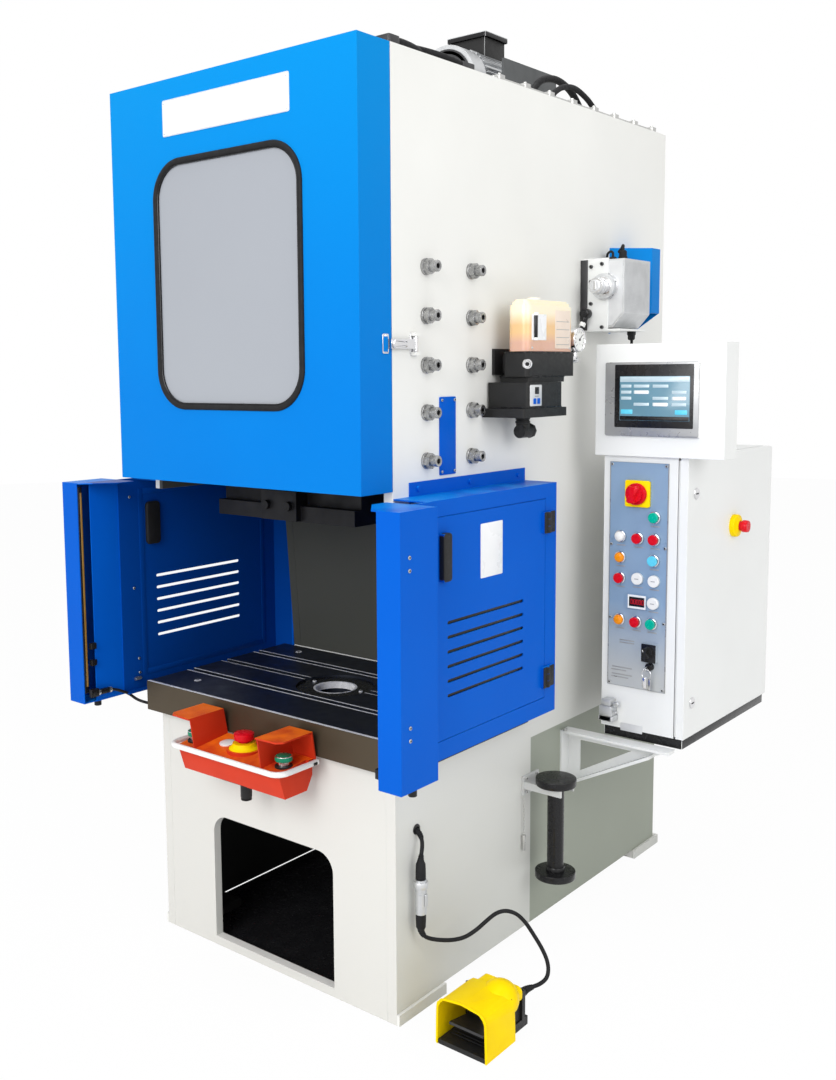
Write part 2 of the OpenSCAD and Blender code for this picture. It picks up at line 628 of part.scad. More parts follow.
// foot switch cord in two lengths, swept along hand-set points, and the coupling between them
hole_route = [[394, 80, 466], [404, 80, 466], [417, 80, 463.5], [429, 78, 456], [437.5, 74, 445], [442, 69, 432],
              [443, 65, 419], [443, 62.5, 405.5], [443, 61.5, 392]];
floor_route = [[443, 61.5, 236], [443, 62, 227.5], [444.5, 65.5, 217], [448.5, 73.5, 206.5], [457, 89, 197.5], [471, 114, 189],
               [486, 142, 184], [501, 167, 187], [516, 191, 200], [531, 212, 219], [546, 231, 235], [563, 249, 240],
               [583, 265, 232], [602, 277, 211], [622, 285, 181], [642, 289, 152], [657, 288, 127], [665, 281, 107],
               [667, 268, 93], [662, 249, 86], [653.5, 232, 83], [648, 219, 82], [646, 209, 82], [646, 200, 82]];
function unit(v) = v / norm(v);
function along(p, i) = unit(p[min(i + 1, len(p) - 1)] - p[max(i - 1, 0)]);
function side(t) = unit(cross(t, abs(t[2]) > 0.9 ? [0, 1, 0] : [0, 0, 1]));
function ring(p, i, d, n) = let (t = along(p, i), u = side(t), v = cross(t, u))
    [for (k = [0 : n - 1]) p[i] + d / 2 * (cos(360 * k / n) * u + sin(360 * k / n) * v)];
module tube(p, d, n = 10) polyhedron(
    points = [for (i = [0 : len(p) - 1]) each ring(p, i, d, n)],
    faces = concat([[for (k = [0 : n - 1]) k]], [[for (k = [n - 1 : -1 : 0]) (len(p) - 1) * n + k]],
        [for (i = [0 : len(p) - 2], k = [0 : n - 1]) [i * n + k, (i + 1) * n + k, (i + 1) * n + (k + 1) % n, i * n + (k + 1) % n]]));
module foot_cord() color(black) at_front() {
    tube(hole_route, 10);
    tube(floor_route, 10);
}
module cord_coupling() color([0.6, 0.6, 0.62]) at_front() {
    rod_z(443, 61.5, 355, 392, 22);
    rod_z(443, 61.5, 269, 355, 28);
    rod_z(443, 61.5, 334, 350, 34);
    rod_z(443, 61.5, 236, 269, 22);
}

frame_side_right();
frame_side_left();
frame_crossplates();
frame_rear_plate();
foot_pads();
bolster();
crank_housing();
slide_gibs();
gib_bolts();
crankshaft();
eccentric_bush();
connecting_rod();
ram();
flywheel();
motor();
motor_pulley();
motor_base();
front_cover();
window_pane();
latch_lever();
side_guard_right();
side_guard_left();
guard_door_right();
guard_door_left();
light_posts();
console_body();
console_rail();
start_button_left();
start_button_right();
console_stop_button();
lubricator_tank();
lubricator_base();
cam_switch_bracket();
cam_switch_housing();
cam_switch_guard();
cam_switch_shaft();
cabinet_shell();
cabinet_door();
cabinet_brackets();
control_panel();
display_housing();
main_switch_knob();
mode_selector_knob();
start_motor_button();
stop_motor_button();
reset_button();
fault_button();
clutch_button();
slide_up_button();
slide_down_button();
door_stop_button();
door_lock_upper();
door_lock_lower();
safety_block();
safety_block_holder();
foot_switch_base();
foot_switch_hood();
foot_pedal();
foot_cord();
cord_coupling();
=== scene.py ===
# %% [markdown]
# An eccentric press in the C-frame style: a welded white frame, a blue cover over
# the slide, blue side guards, an orange two-hand console and a side cabinet.
# The rigid solids come packed as a fixed frame. This lesson gives them soft edges
# and finishes, then adds the small things a press carries: seals, hoses, lamps,
# belts, hinges, screws and screens. Lengths are written in millimetres from the
# frame's front face, X to the right, Y to the rear and Z up, because a drawing of
# a machine is read that way, and one helper turns them into the frame's metres.

import json
import math

import bmesh
import bpy
import numpy as np
from mathutils import Matrix, Vector


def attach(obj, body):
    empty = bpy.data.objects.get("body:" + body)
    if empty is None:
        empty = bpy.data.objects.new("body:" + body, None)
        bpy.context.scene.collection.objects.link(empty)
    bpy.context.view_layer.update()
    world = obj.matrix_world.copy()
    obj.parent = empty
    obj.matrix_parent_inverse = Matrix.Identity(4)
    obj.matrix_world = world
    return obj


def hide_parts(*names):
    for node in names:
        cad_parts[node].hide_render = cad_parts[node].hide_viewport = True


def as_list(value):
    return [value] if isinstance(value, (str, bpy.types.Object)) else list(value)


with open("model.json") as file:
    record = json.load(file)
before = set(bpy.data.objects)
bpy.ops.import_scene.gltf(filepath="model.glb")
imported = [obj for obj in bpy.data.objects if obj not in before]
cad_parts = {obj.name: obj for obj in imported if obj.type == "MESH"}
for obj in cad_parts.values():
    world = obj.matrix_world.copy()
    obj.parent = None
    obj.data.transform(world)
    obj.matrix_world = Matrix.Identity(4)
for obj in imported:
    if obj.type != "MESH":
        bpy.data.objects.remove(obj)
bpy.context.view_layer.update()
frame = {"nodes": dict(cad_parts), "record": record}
nodes = frame["nodes"]
body_of_node = {n: b for b, ns in frame["record"]["behaviour"]["bodies"].items() for n in ns}
FRONT_FACE = -0.681  # where the frame's front face lies on the Y axis, in metres
SIDE_X = 416  # outer face of the frame's side plates
SIDES = (-1, 1)
RIGHT, LEFT, REAR, FRONT, UP, DOWN = (
    (1, 0, 0), (-1, 0, 0), (0, 1, 0), (0, -1, 0), (0, 0, 1), (0, 0, -1)
)


def metres(points):
    """Points in millimetres from the frame's front face, turned into the frame's metres."""
    return np.array(points, float) / 1000 + [0, FRONT_FACE, 0]


def set_axes(thing, x, y, z, origin):
    """Writes an object's three axes and its place into the columns of its matrix."""
    columns = np.eye(4)
    columns[:3] = np.stack([x, y, z, origin], 1)
    thing.matrix_world = Matrix(columns.tolist())


def in_scene(name, data):
    """A new object in the scene."""
    made = bpy.data.objects.new(name, data)
    bpy.context.scene.collection.objects.link(made)
    return made


# %% [markdown]
# ## Camera
# A standing person looks at the press from its front right corner. The camera is a
# matrix of three directions: right, up and back. Yaw turns it round the vertical,
# pitch tips it down and roll is the hand's small tilt. Writing the matrix is surer
# than stacking three rotations, because each column can be read by itself.

# %% Stand the camera
SENSOR, NEAREST, FARTHEST = 36, 0.1, 60  # the sensor's width in mm, the clipping in metres


def stand_camera(origin, yaw, pitch, roll, lens, shift_x, shift_y):
    """Columns of the matrix are right, up and minus the view direction, where the
    view direction is (-sin yaw cos pitch, cos yaw cos pitch, sin pitch)."""
    level = math.cos(pitch)
    ahead = np.array([-math.sin(yaw) * level, math.cos(yaw) * level, math.sin(pitch)])
    right = np.cross(ahead, [0, 0, 1])
    right /= np.linalg.norm(right)
    above = np.cross(right, ahead)
    turned_right = math.cos(roll) * right + math.sin(roll) * above
    turned_above = -math.sin(roll) * right + math.cos(roll) * above
    camera = in_scene("camera", bpy.data.cameras.new("camera"))
    set_axes(camera, turned_right, turned_above, -ahead, origin)
    camera.data.lens, camera.data.sensor_width = lens, SENSOR
    camera.data.shift_x, camera.data.shift_y = shift_x, shift_y
    camera.data.clip_start, camera.data.clip_end = NEAREST, FARTHEST
    bpy.context.scene.camera = camera


stand_camera((2.0272, -2.7023, 1.564), yaw=0.6982, pitch=-0.1115, roll=-0.0099,
             lens=38.07, shift_x=0.0495, shift_y=-0.0381)
print("camera at", [round(c, 2) for c in bpy.context.scene.camera.location])


# %% [markdown]
# ## Shapes from numbers
# Every added piece is a surface worked out with numpy: a grid of points with two
# parameters, joined into four-sided faces. A lathe shape, a plate with soft
# corners, a hose and a seal are all such grids, so a few short functions make
# nearly everything here. Modelling by hand would work too, but then a change of a
# size would mean doing the work again.

# %% Join a grid of points
def surface(points, loop_rows=False, loop_columns=False, capped=False):
    """Faces between neighbours of a grid of points. A looped direction meets
    itself, and caps close the first and last row with one face each."""
    rows, columns = points.shape[:2]
    last_row, last_column = rows - (not loop_rows), columns - (not loop_columns)
    i, j = np.meshgrid(np.arange(last_row), np.arange(last_column), indexing="ij")
    i, j = i.ravel(), j.ravel()
    over, along = (i + 1) % rows, (j + 1) % columns
    corners = [i * columns + j, over * columns + j, over * columns + along, i * columns + along]
    faces = np.stack(corners, 1).tolist()
    if capped:
        faces += [list(range(columns))[::-1], list(range((rows - 1) * columns, rows * columns))]
    return points.reshape(-1, 3), faces


def three_directions(normal, up=(0, 0, 1)):
    """Unit vectors across, upward and along the normal. When up runs along the
    normal, X takes its place."""
    normal = np.array(normal, float) / np.linalg.norm(normal)
    up = np.array(up, float)
    if abs(up @ normal) > 0.95:
        up = np.array([1.0, 0, 0]) if abs(normal[0]) < 0.9 else np.array([0, 1.0, 0])
    across = np.cross(up, normal)
    across /= np.linalg.norm(across)
    return across, np.cross(normal, across), normal


# %% Turn a profile on a lathe
def turned(profile, origin, direction, sides=32, closed=False):
    """Point = origin + r cos(t) across + r sin(t) upward + h along, for every
    (r, h) of the profile and every angle t. A closed profile makes a ring with a
    hole, an open one is capped at both ends."""
    r, h = np.array(profile, float).T
    t = np.linspace(0, 2 * math.pi, sides, endpoint=False)
    across, upward, along = three_directions(direction)
    ring = np.cos(t)[:, None] * across + np.sin(t)[:, None] * upward
    points = np.array(origin, float) + r[:, None, None] * ring[None] + h[:, None, None] * along
    return surface(points, loop_rows=closed, loop_columns=True, capped=not closed)


BEND = 0.3  # share of an edge's radius that its middle point lies from the two faces


def soft_rod(radius, length, edge):
    """Profile of a rod whose two ends have a rounded edge."""
    near = [(radius - edge, 0), (radius - BEND * edge, BEND * edge), (radius, edge)]
    return near + [(r, length - h) for r, h in near[::-1]]


def rod(radius, length, spot, direction, edge, sides):
    """A round rod with softened ends."""
    return turned(soft_rod(radius, length, edge), spot, direction, sides)


# %% Press a plate with soft corners
def rounded_outline(width, height, corner, steps=6):
    """Four quarter circles of the corner's radius, joined by straight runs."""
    corner = max(corner, 0.05)
    q = np.linspace(0, math.pi / 2, steps)
    x, y = width / 2 - corner, height / 2 - corner
    quarters = [(x, y, 0.0), (-x, y, 0.5 * math.pi), (-x, -y, math.pi), (x, -y, 1.5 * math.pi)]
    arcs = [(cx + corner * np.cos(q + a), cy + corner * np.sin(q + a)) for cx, cy, a in quarters]
    return np.concatenate([np.stack(arc, 1) for arc in arcs])


def plate(centre, normal, width, height, thick, corner=2.0, edge=0.8, up=(0, 0, 1), steps=6):
    """Six rounded outlines stacked along the normal. The outer two of each end are
    drawn in, which rounds the rim."""
    edge = min(edge, thick / 2.01)
    across, upward, along = three_directions(normal, up)
    near = [(edge, 0), (BEND * edge, BEND * edge), (0, edge)]
    rims = near + [(inset, thick - rise) for inset, rise in near[::-1]]
    rows = []
    for inset, rise in rims:
        flat = rounded_outline(width - 2 * inset, height - 2 * inset, corner - inset, steps)
        spot = np.array(centre, float) + rise * along
        rows.append(spot + flat[:, :1] * across + flat[:, 1:] * upward)
    return surface(np.array(rows), loop_columns=True, capped=True)


def block(x0, x1, y0, y1, z0, z1, corner=2.0, edge=1.0, normal=(0, 0, 1)):
    """A plate between two corners of a box. The corners that run along the normal
    are the widely rounded ones."""
    low, high = np.array([x0, y0, z0], float), np.array([x1, y1, z1], float)
    across, upward, along = three_directions(normal)
    size = high - low
    centre = (low + high) / 2 - along * abs(along @ size) / 2
    width, height, thick = abs(across @ size), abs(upward @ size), abs(along @ size)
    return plate(centre, normal, width, height, thick, corner, edge)


def mirrored(x0, x1, y0, y1, z0, z1, corner=1.5, edge=0.5):
    """The same block on both sides of the press, mirrored in X."""
    return [
        block(min(s * x0, s * x1), max(s * x0, s * x1), y0, y1, z0, z1, corner, edge)
        for s in SIDES
    ]


# %% Carry a profile along a path
def smooth_path(points, per=8):
    """Points of a curve through the given ones, where each stretch is the cubic
    whose slopes are half the step between the neighbours (Catmull-Rom)."""
    p = np.array(points, float)
    p = np.concatenate([[2 * p[0] - p[1]], p, [2 * p[-1] - p[-2]]])
    t = np.linspace(0, 1, per, endpoint=False)[None, :, None]
    a, b, c, d = p[:-3, None], p[1:-2, None], p[2:-1, None], p[3:, None]
    bend, twist = 2 * a - 5 * b + 4 * c - d, 3 * b - a - 3 * c + d
    curve = 0.5 * (2 * b + (c - a) * t + bend * t**2 + twist * t**3)
    return np.concatenate([curve.reshape(-1, 3), p[-2:-1]])


def hose(points, diameter, sides=12, per=8, radii=None):
    """Circle carried along a smooth path, with one radius or one for each of its
    points. The circle's first direction is square to the path and to one fixed
    direction that the path never runs along."""
    path = smooth_path(points, per) if per else np.array(points, float)
    step = np.gradient(path, axis=0)
    step /= np.linalg.norm(step, axis=1)[:, None]
    slanted = [(1, 1, 0), (1, -1, 0), (0, 1, 1), (0, 1, -1), (1, 0, 1), (1, 0, -1)]
    choices = np.array([RIGHT, REAR, UP] + slanted, float)
    choices /= np.linalg.norm(choices, axis=1)[:, None]
    fixed = choices[np.abs(step @ choices.T).max(0).argmin()]
    first = np.cross(step, fixed)
    first /= np.linalg.norm(first, axis=1)[:, None]
    second = np.cross(step, first)
    t = np.linspace(0, 2 * math.pi, sides, endpoint=False)
    r = np.full(len(path), diameter / 2) if radii is None else radii
    ring = np.cos(t)[None, :, None] * first[:, None] + np.sin(t)[None, :, None] * second[:, None]
    return surface(path[:, None] + r[:, None, None] * ring, loop_columns=True, capped=True)


def trim(outline, normal, section):
    """A closed flat loop with a section carried round it. Each section point is
    (outward, along the normal), and outward is square to the loop's own step."""
    outline, normal = np.array(outline, float), np.array(normal, float)
    step = np.roll(outline, -1, 0) - np.roll(outline, 1, 0)
    step /= np.linalg.norm(step, axis=1)[:, None]
    outward = np.cross(step, normal)
    middle = outline - outline.mean(0)
    outward *= np.sign((outward * middle).sum(1).sum())
    s = np.array(section, float)
    points = outline[:, None] + s[None, :, :1] * outward[:, None] + s[None, :, 1:] * normal
    return surface(points, loop_rows=True, loop_columns=True)


# %% Make a piece
HARD, HARD_SOLID = 35, 32  # degrees from which an edge of a surface or a solid is hard
FLAT = 0.4  # degrees up to which two faces of a solid are one
MERGE, BEVEL_STEPS = 1e-6, 2


def weld(points, faces):
    """Gives points that coincide one number, and drops the faces that shrink to
    nothing by it."""
    unique, index = np.unique(np.round(points, 5), axis=0, return_inverse=True)
    index = index.ravel()
    kept = []
    for f in faces:
        ring = [int(index[k]) for k in f]
        ring = [a for a, b in zip(ring, ring[1:] + ring[:1]) if a != b]
        if len(ring) > 2:
            kept.append(ring)
    return unique, kept


def mended(mesh, angle, solid=False):
    """Keeps only the edges sharper than the angle hard. A made surface gets every
    face turned outward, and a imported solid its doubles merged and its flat
    neighbours joined."""
    bm = bmesh.new()
    bm.from_mesh(mesh)
    if solid:
        bmesh.ops.remove_doubles(bm, verts=bm.verts, dist=MERGE)
        bmesh.ops.dissolve_limit(bm, angle_limit=math.radians(FLAT), verts=bm.verts, edges=bm.edges)
    else:
        bmesh.ops.recalc_face_normals(bm, faces=bm.faces)
    for edge in bm.edges:
        edge.smooth = len(edge.link_faces) == 2 and edge.calc_face_angle(0) < math.radians(angle)
    for face in bm.faces:
        face.smooth = True
    bm.to_mesh(mesh)
    bm.free()


def piece(name, shapes, material, body="frame", angle=HARD):
    """Joins shapes written in millimetres into one object that rides on a body."""
    points, faces, count = [], [], 0
    for shape in shapes:
        p, f = weld(*shape)
        points.append(p)
        faces += [[k + count for k in ring] for ring in f]
        count += len(p)
    mesh = bpy.data.meshes.new(name)
    mesh.from_pydata(metres(np.concatenate(points)).tolist(), [], faces)
    mended(mesh, angle)
    mesh.materials.append(material)
    made = in_scene(name, mesh)
    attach(made, body)
    print(name, len(mesh.polygons), "faces on", body)
    return made


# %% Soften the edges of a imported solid
def softened(node, material, width):
    """A mended copy of the solid, with a small bevel of the width in millimetres
    on every hard edge, stands for the solid."""
    mesh = nodes[node].data.copy()
    mended(mesh, HARD_SOLID, solid=True)
    made = in_scene(node + "_dressed", mesh)
    mesh.materials.clear()
    mesh.materials.append(material)
    mesh.polygons.foreach_set("material_index", [0] * len(mesh.polygons))
    if width:
        bevel = made.modifiers.new("edges", "BEVEL")
        bevel.width, bevel.segments, bevel.limit_method = width / 1000, BEVEL_STEPS, "ANGLE"
        bevel.angle_limit, bevel.harden_normals = math.radians(HARD_SOLID), True
    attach(made, body_of_node[node])
    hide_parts(node)
    return made


print("shape helpers ready")


# %% [markdown]
# ## Finishes
# Most of the press is powder-coated sheet, oiled steel and moulded plastic. Each
# shared effect is one node group with named inputs: mottle shifts a colour softly,
# peel gives the tiny waves of sprayed paint, brushed gives fine parallel scratches,
# patchy varies the roughness, and one group finds upward faces: there real dust lies
# on the white and grey paints, and a painted top light brightens the blue guards and
# the orange console. Level, low_side and inside_box are masks for places that differ,
# mostly painted light and shade. The groups read Object coordinates, which are metres
# in the frame, so a pattern keeps its real size.

# %% Nodes and groups
FLOAT, VECTOR, COLOUR = "NodeSocketFloat", "NodeSocketVector", "NodeSocketColor"


def feed(tree, socket, value):
    """Gives an input another node's socket, or a plain value."""
    if isinstance(value, bpy.types.NodeSocket):
        tree.links.new(value, socket)
    elif socket.type == "RGBA" and len(value) == 3:
        socket.default_value = (*value, 1)
    else:
        socket.default_value = value


def add(tree, kind, inputs, operation=None):
    """A shader node with its inputs fed, by name or number. Returns its outputs."""
    node = tree.nodes.new("ShaderNode" + kind)
    if operation:
        node.operation = operation
    for label, value in inputs.items():
        feed(tree, node.inputs[label], value)
    return node.outputs


def effect(name, inputs, output, kind):
    """An empty node group with one output. The kind of an input follows from its
    default value: one number, three numbers or a colour of four. Returns the
    group, what its inputs hold, and the socket that its result goes to."""
    tree = bpy.data.node_groups.new(name, "ShaderNodeTree")
    for label, value in inputs.items():
        shape = FLOAT if isinstance(value, float) else VECTOR if len(value) == 3 else COLOUR
        tree.interface.new_socket(label, in_out="INPUT", socket_type=shape).default_value = value
    tree.interface.new_socket(output, in_out="OUTPUT", socket_type=kind)
    given = tree.nodes.new("NodeGroupInput").outputs
    return tree, given, tree.nodes.new("NodeGroupOutput").inputs[output]


# %% What the groups are made of
def coordinates(tree):
    """Object coordinates, which are metres in the frame."""
    return add(tree, "TexCoord", {})["Object"]


def on_axis(tree, vector, axis):
    """One axis of a vector."""
    return add(tree, "SeparateXYZ", {"Vector": vector})[axis]


def noise_in(tree, scale, detail, stretch=None):
    """Noise on Object coordinates. The stretch multiplies them along each axis."""
    where = coordinates(tree)
    if stretch is not None:
        where = add(tree, "Mapping", {"Vector": where, "Scale": stretch})["Vector"]
    return add(tree, "TexNoise", {"Vector": where, "Scale": scale, "Detail": detail})["Fac"]


def steps(tree, value, low, high, top=1.0, bottom=0.0):
    """Value from low to high becomes bottom to top, and stays there beyond."""
    span = {"Value": value, "From Min": low, "From Max": high, "To Min": bottom, "To Max": top}
    return add(tree, "MapRange", span)["Result"]


def facing(tree, axis, low, high):
    """1 where the surface looks along the axis, falling to 0 where it doesn't."""
    return steps(tree, on_axis(tree, add(tree, "NewGeometry", {})["Normal"], axis), low, high)


def maths(tree, operation, first, second):
    """Two values made one."""
    return add(tree, "Math", {0: first, 1: second}, operation)["Value"]


def bumped(tree, height, strength, distance):
    """Normal of waves whose height in metres is the distance."""
    given = {"Height": height, "Strength": strength, "Distance": distance}
    return add(tree, "Bump", given)["Normal"]


def blended(tree, share, first, second):
    """First colour where the share is 0, second where it is 1."""
    mix = tree.nodes.new("ShaderNodeMix")
    mix.data_type = "RGBA"
    for label, value in (("Factor", share), ("A", first), ("B", second)):
        feed(tree, mix.inputs[label], value)
    return mix.outputs["Result"]


# %% Shared effects
WHITE, BLACK = (1, 1, 1, 1), (0, 0, 0, 1)

held = {"Base": WHITE, "Shade": BLACK, "Scale": 5.0, "Amount": 0.5}
tree, given, result = effect("mottle", held, "Colour", COLOUR)
share = steps(tree, noise_in(tree, given["Scale"], 5.0), 0.35, 0.7, given["Amount"])
feed(tree, result, blended(tree, share, given["Base"], given["Shade"]))

tree, given, result = effect("peel", {"Scale": 900.0, "Height": 0.1}, "Normal", VECTOR)
feed(tree, result, bumped(tree, noise_in(tree, given["Scale"], 2.0), given["Height"], 0.0006))

held = {"Stretch": (1.0, 1.0, 1.0), "Height": 0.2}
tree, given, result = effect("brushed", held, "Normal", VECTOR)
scratches = noise_in(tree, 30.0, 6.0, given["Stretch"])
feed(tree, result, bumped(tree, scratches, given["Height"], 0.0003))

# Upward faces: real dust on the white, frame and grey paints, a painted top light on the blue
# guards and the orange console.
tree, given, result = effect("upward_dust_and_light", {"Scale": 8.0, "Amount": 0.4}, "Mask", FLOAT)
dust_and_top_light_share = steps(tree, noise_in(tree, given["Scale"], 6.0), 0.35, 0.75, given["Amount"])
feed(tree, result, maths(tree, "MULTIPLY", facing(tree, "Z", 0.4, 0.9), dust_and_top_light_share))

tree, given, result = effect("patchy", {"Smooth": 0.3, "Rough": 0.5, "Scale": 12.0}, "Value", FLOAT)
patches = noise_in(tree, given["Scale"], 5.0)
feed(tree, result, steps(tree, patches, 0.3, 0.7, given["Rough"], given["Smooth"]))

# %% Masks of height and place
tree, given, result = effect("level", {"Low": 0.0, "High": 1.0}, "Mask", FLOAT)
feed(tree, result, steps(tree, on_axis(tree, coordinates(tree), "Z"), given["Low"], given["High"]))

# Painted shade on faces that look to the right, growing towards the floor.
tree, given, result = effect("low_side", {"Low": 1.0, "High": 0.0, "Amount": 0.5}, "Mask", FLOAT)
height = on_axis(tree, coordinates(tree), "Z")
fall = steps(tree, height, given["Low"], given["High"], given["Amount"])
feed(tree, result, maths(tree, "MULTIPLY", facing(tree, "X", 0.3, 0.9), fall))

held = {"Middle": (0.0, 0.0, 0.0), "Half": (1.0, 1.0, 1.0)}
tree, given, result = effect("inside_box", held, "Mask", FLOAT)
away = add(tree, "VectorMath", {0: coordinates(tree), 1: given["Middle"]}, "SUBTRACT")["Vector"]
away = add(tree, "VectorMath", {0: away}, "ABSOLUTE")["Vector"]
depth = add(tree, "VectorMath", {0: given["Half"], 1: away}, "SUBTRACT")["Vector"]
depth = add(tree, "SeparateXYZ", {"Vector": depth})
least = maths(tree, "MINIMUM", maths(tree, "MINIMUM", depth["X"], depth["Y"]), depth["Z"])
feed(tree, result, steps(tree, least, -0.0004, 0.0004))
print("effects:", sorted(g.name for g in bpy.data.node_groups))


# %% Materials from the effects
COAT_ROUGHNESS, DUST_AND_LIGHT_SCALE, BRUSH_HEIGHT = 0.12, 9.0, 0.25
PATCH_SHARE = 2.3  # how much finer the changes of roughness are than those of colour


def place(tree, group, **values):
    """One use of a node group, with this material's own values on its inputs.
    Returns its result."""
    node = tree.nodes.new("ShaderNodeGroup")
    node.node_tree = bpy.data.node_groups[group]
    for label, value in values.items():
        feed(tree, node.inputs[label], value)
    return node.outputs[0]


def shade_where(material, colour, group, **values):
    """Blends the material's colour to another one where the group's mask is 1."""
    tree = material.node_tree
    base = tree.nodes["Principled BSDF"].inputs["Base Color"]
    feed(tree, base, blended(tree, place(tree, group, **values), base.links[0].from_socket, colour))


def shade_room(material, colour, x, y, z):
    """Does so inside a box. Its three spans are in millimetres, from the front face."""
    low, high = metres(np.transpose([x, y, z]))
    middle, half = Vector((low + high) / 2), Vector((high - low) / 2)
    shade_where(material, colour, "inside_box", Middle=middle, Half=half)


def finish(name, base, shade, scale, smooth, rough, amount=0.5, metal=0.0, peel=0.0, grain=900.0,
           brushed=None, dust_and_top_light=0.0, dust_and_top_light_colour=(0.35, 0.33, 0.3), coat=0.0, specular=0.5):
    """A Principled material whose colour, roughness and normal come from the groups."""
    material = bpy.data.materials.new(name)
    material.use_nodes = True
    tree = material.node_tree
    shader = tree.nodes["Principled BSDF"].inputs
    shader["Metallic"].default_value = metal
    shader["Coat Weight"].default_value = coat
    shader["Coat Roughness"].default_value = COAT_ROUGHNESS
    shader["Specular IOR Level"].default_value = specular
    colour = place(tree, "mottle", Base=base, Shade=shade, Scale=scale, Amount=amount)
    # Upward faces take the second colour: real dust on some paints, a painted top light on others.
    if dust_and_top_light:
        upward_dust_and_light = place(tree, "upward_dust_and_light", Amount=dust_and_top_light, Scale=DUST_AND_LIGHT_SCALE)
        colour = blended(tree, upward_dust_and_light, colour, dust_and_top_light_colour)
    feed(tree, shader["Base Color"], colour)
    patches = place(tree, "patchy", Smooth=smooth, Rough=rough, Scale=scale * PATCH_SHARE)
    feed(tree, shader["Roughness"], patches)
    if brushed:
        feed(tree, shader["Normal"], place(tree, "brushed", Stretch=brushed, Height=BRUSH_HEIGHT))
    elif peel:
        feed(tree, shader["Normal"], place(tree, "peel", Scale=grain, Height=peel))
    return material


# %% Paints and metals
white_paint = finish(
    "white_paint", (0.80, 0.81, 0.80), (0.72, 0.73, 0.72), 2.2, 0.34, 0.48,
    peel=0.25, grain=420, dust_and_top_light=0.2, dust_and_top_light_colour=(0.62, 0.62, 0.6), specular=0.25,
)
frame_paint = finish(
    "frame_paint", (0.82, 0.82, 0.79), (0.72, 0.72, 0.69), 1.4, 0.36, 0.52,
    amount=0.6, peel=0.35, grain=300, dust_and_top_light=0.3, dust_and_top_light_colour=(0.55, 0.55, 0.52), specular=0.3,
)
# The cover's and the cam guard's blue: the guards' blue paint lifted by a painted sheen.
blue_paint = finish(
    "blue_paint", (0.001, 0.185, 0.61), (0.001, 0.150, 0.55), 1.8, 0.30, 0.42,
    peel=0.3, grain=700, specular=0.05,
)
# Painted top light: upward faces of the guards are lifted to a lighter blue.
blue_side = finish(
    "blue_side", (0.001, 0.105, 0.56), (0.001, 0.080, 0.48), 1.8, 0.30, 0.42,
    peel=0.3, grain=700, dust_and_top_light=2.0, dust_and_top_light_colour=(0.002, 0.20, 0.66), specular=0.05,
)
grey_paint = finish(
    "grey_paint", (0.60, 0.61, 0.60), (0.48, 0.49, 0.49), 6.0, 0.35, 0.5,
    peel=0.25, grain=700, dust_and_top_light=0.3,
)
panel_paint = finish(
    "panel_paint", (0.23, 0.34, 0.49), (0.19, 0.29, 0.43), 9.0, 0.35, 0.5,
    peel=0.2, grain=1200, specular=0.3,
)
ground_steel = finish(
    "ground_steel", (0.56, 0.56, 0.57), (0.36, 0.36, 0.37), 26.0, 0.22, 0.42,
    amount=0.6, metal=1.0, brushed=(60.0, 60.0, 1.5),
)
bolster_steel = finish(
    "bolster_steel", (0.022, 0.026, 0.038), (0.010, 0.012, 0.017), 7.0, 0.34, 0.52,
    amount=0.7, metal=0.5, brushed=(2.0, 40.0, 40.0), specular=0.3,
)
dark_steel = finish(
    "dark_steel", (0.075, 0.075, 0.078), (0.03, 0.03, 0.032), 14.0, 0.3, 0.55,
    amount=0.7, metal=0.7, peel=0.3, grain=1100,
)
black_iron = finish(
    "black_iron", (0.016, 0.016, 0.018), (0.006, 0.006, 0.007), 14.0, 0.3, 0.55,
    amount=0.7, metal=0.5, peel=0.3, grain=1100, specular=0.3,
)
cast_iron = finish(
    "cast_iron", (0.16, 0.165, 0.17), (0.09, 0.09, 0.095), 12.0, 0.35, 0.6,
    amount=0.7, metal=0.8, peel=0.5, grain=1500,
)
bronze = finish(
    "bronze", (0.55, 0.38, 0.15), (0.38, 0.25, 0.10), 20.0, 0.25, 0.45,
    amount=0.6, metal=1.0, brushed=(40.0, 2.0, 40.0),
)
aluminium = finish(
    "aluminium", (0.62, 0.63, 0.64), (0.48, 0.49, 0.50), 22.0, 0.3, 0.5,
    metal=0.9, peel=0.4, grain=1600,
)
chrome = finish(
    "chrome", (0.74, 0.74, 0.75), (0.6, 0.6, 0.62), 40.0, 0.08, 0.2,
    amount=0.4, metal=1.0, brushed=(30.0, 30.0, 30.0),
)
zinc = finish(
    "zinc", (0.58, 0.58, 0.56), (0.40, 0.40, 0.40), 60.0, 0.25, 0.45,
    amount=0.6, metal=0.95, peel=0.3, grain=1800,
)
nut_steel = finish(
    "nut_steel", (0.46, 0.46, 0.46), (0.20, 0.20, 0.20), 60.0, 0.2, 0.36,
    amount=0.8, metal=1.0, peel=0.2, grain=1800,
)

# %% Plastics, plates and rubber
GLOSSY = dict(peel=0.15, grain=1500, specular=0.3)
black_plastic = finish(
    "black_plastic", (0.012, 0.012, 0.012), (0.020, 0.020, 0.020), 30.0, 0.34, 0.5,
    peel=0.5, grain=2200, specular=0.25,
)
label_pale = finish("label_pale", (0.80, 0.68, 0.58), (0.70, 0.57, 0.46), 20.0, 0.25, 0.4, peel=0.1)
gloss_black = finish(
    "gloss_black", (0.008, 0.008, 0.009), (0.014, 0.014, 0.015), 20.0, 0.2, 0.32,
    peel=0.1, specular=0.3,
)
rubber = finish(
    "rubber", (0.008, 0.008, 0.009), (0.016, 0.016, 0.017), 40.0, 0.5, 0.7,
    peel=0.4, grain=2600, specular=0.2,
)
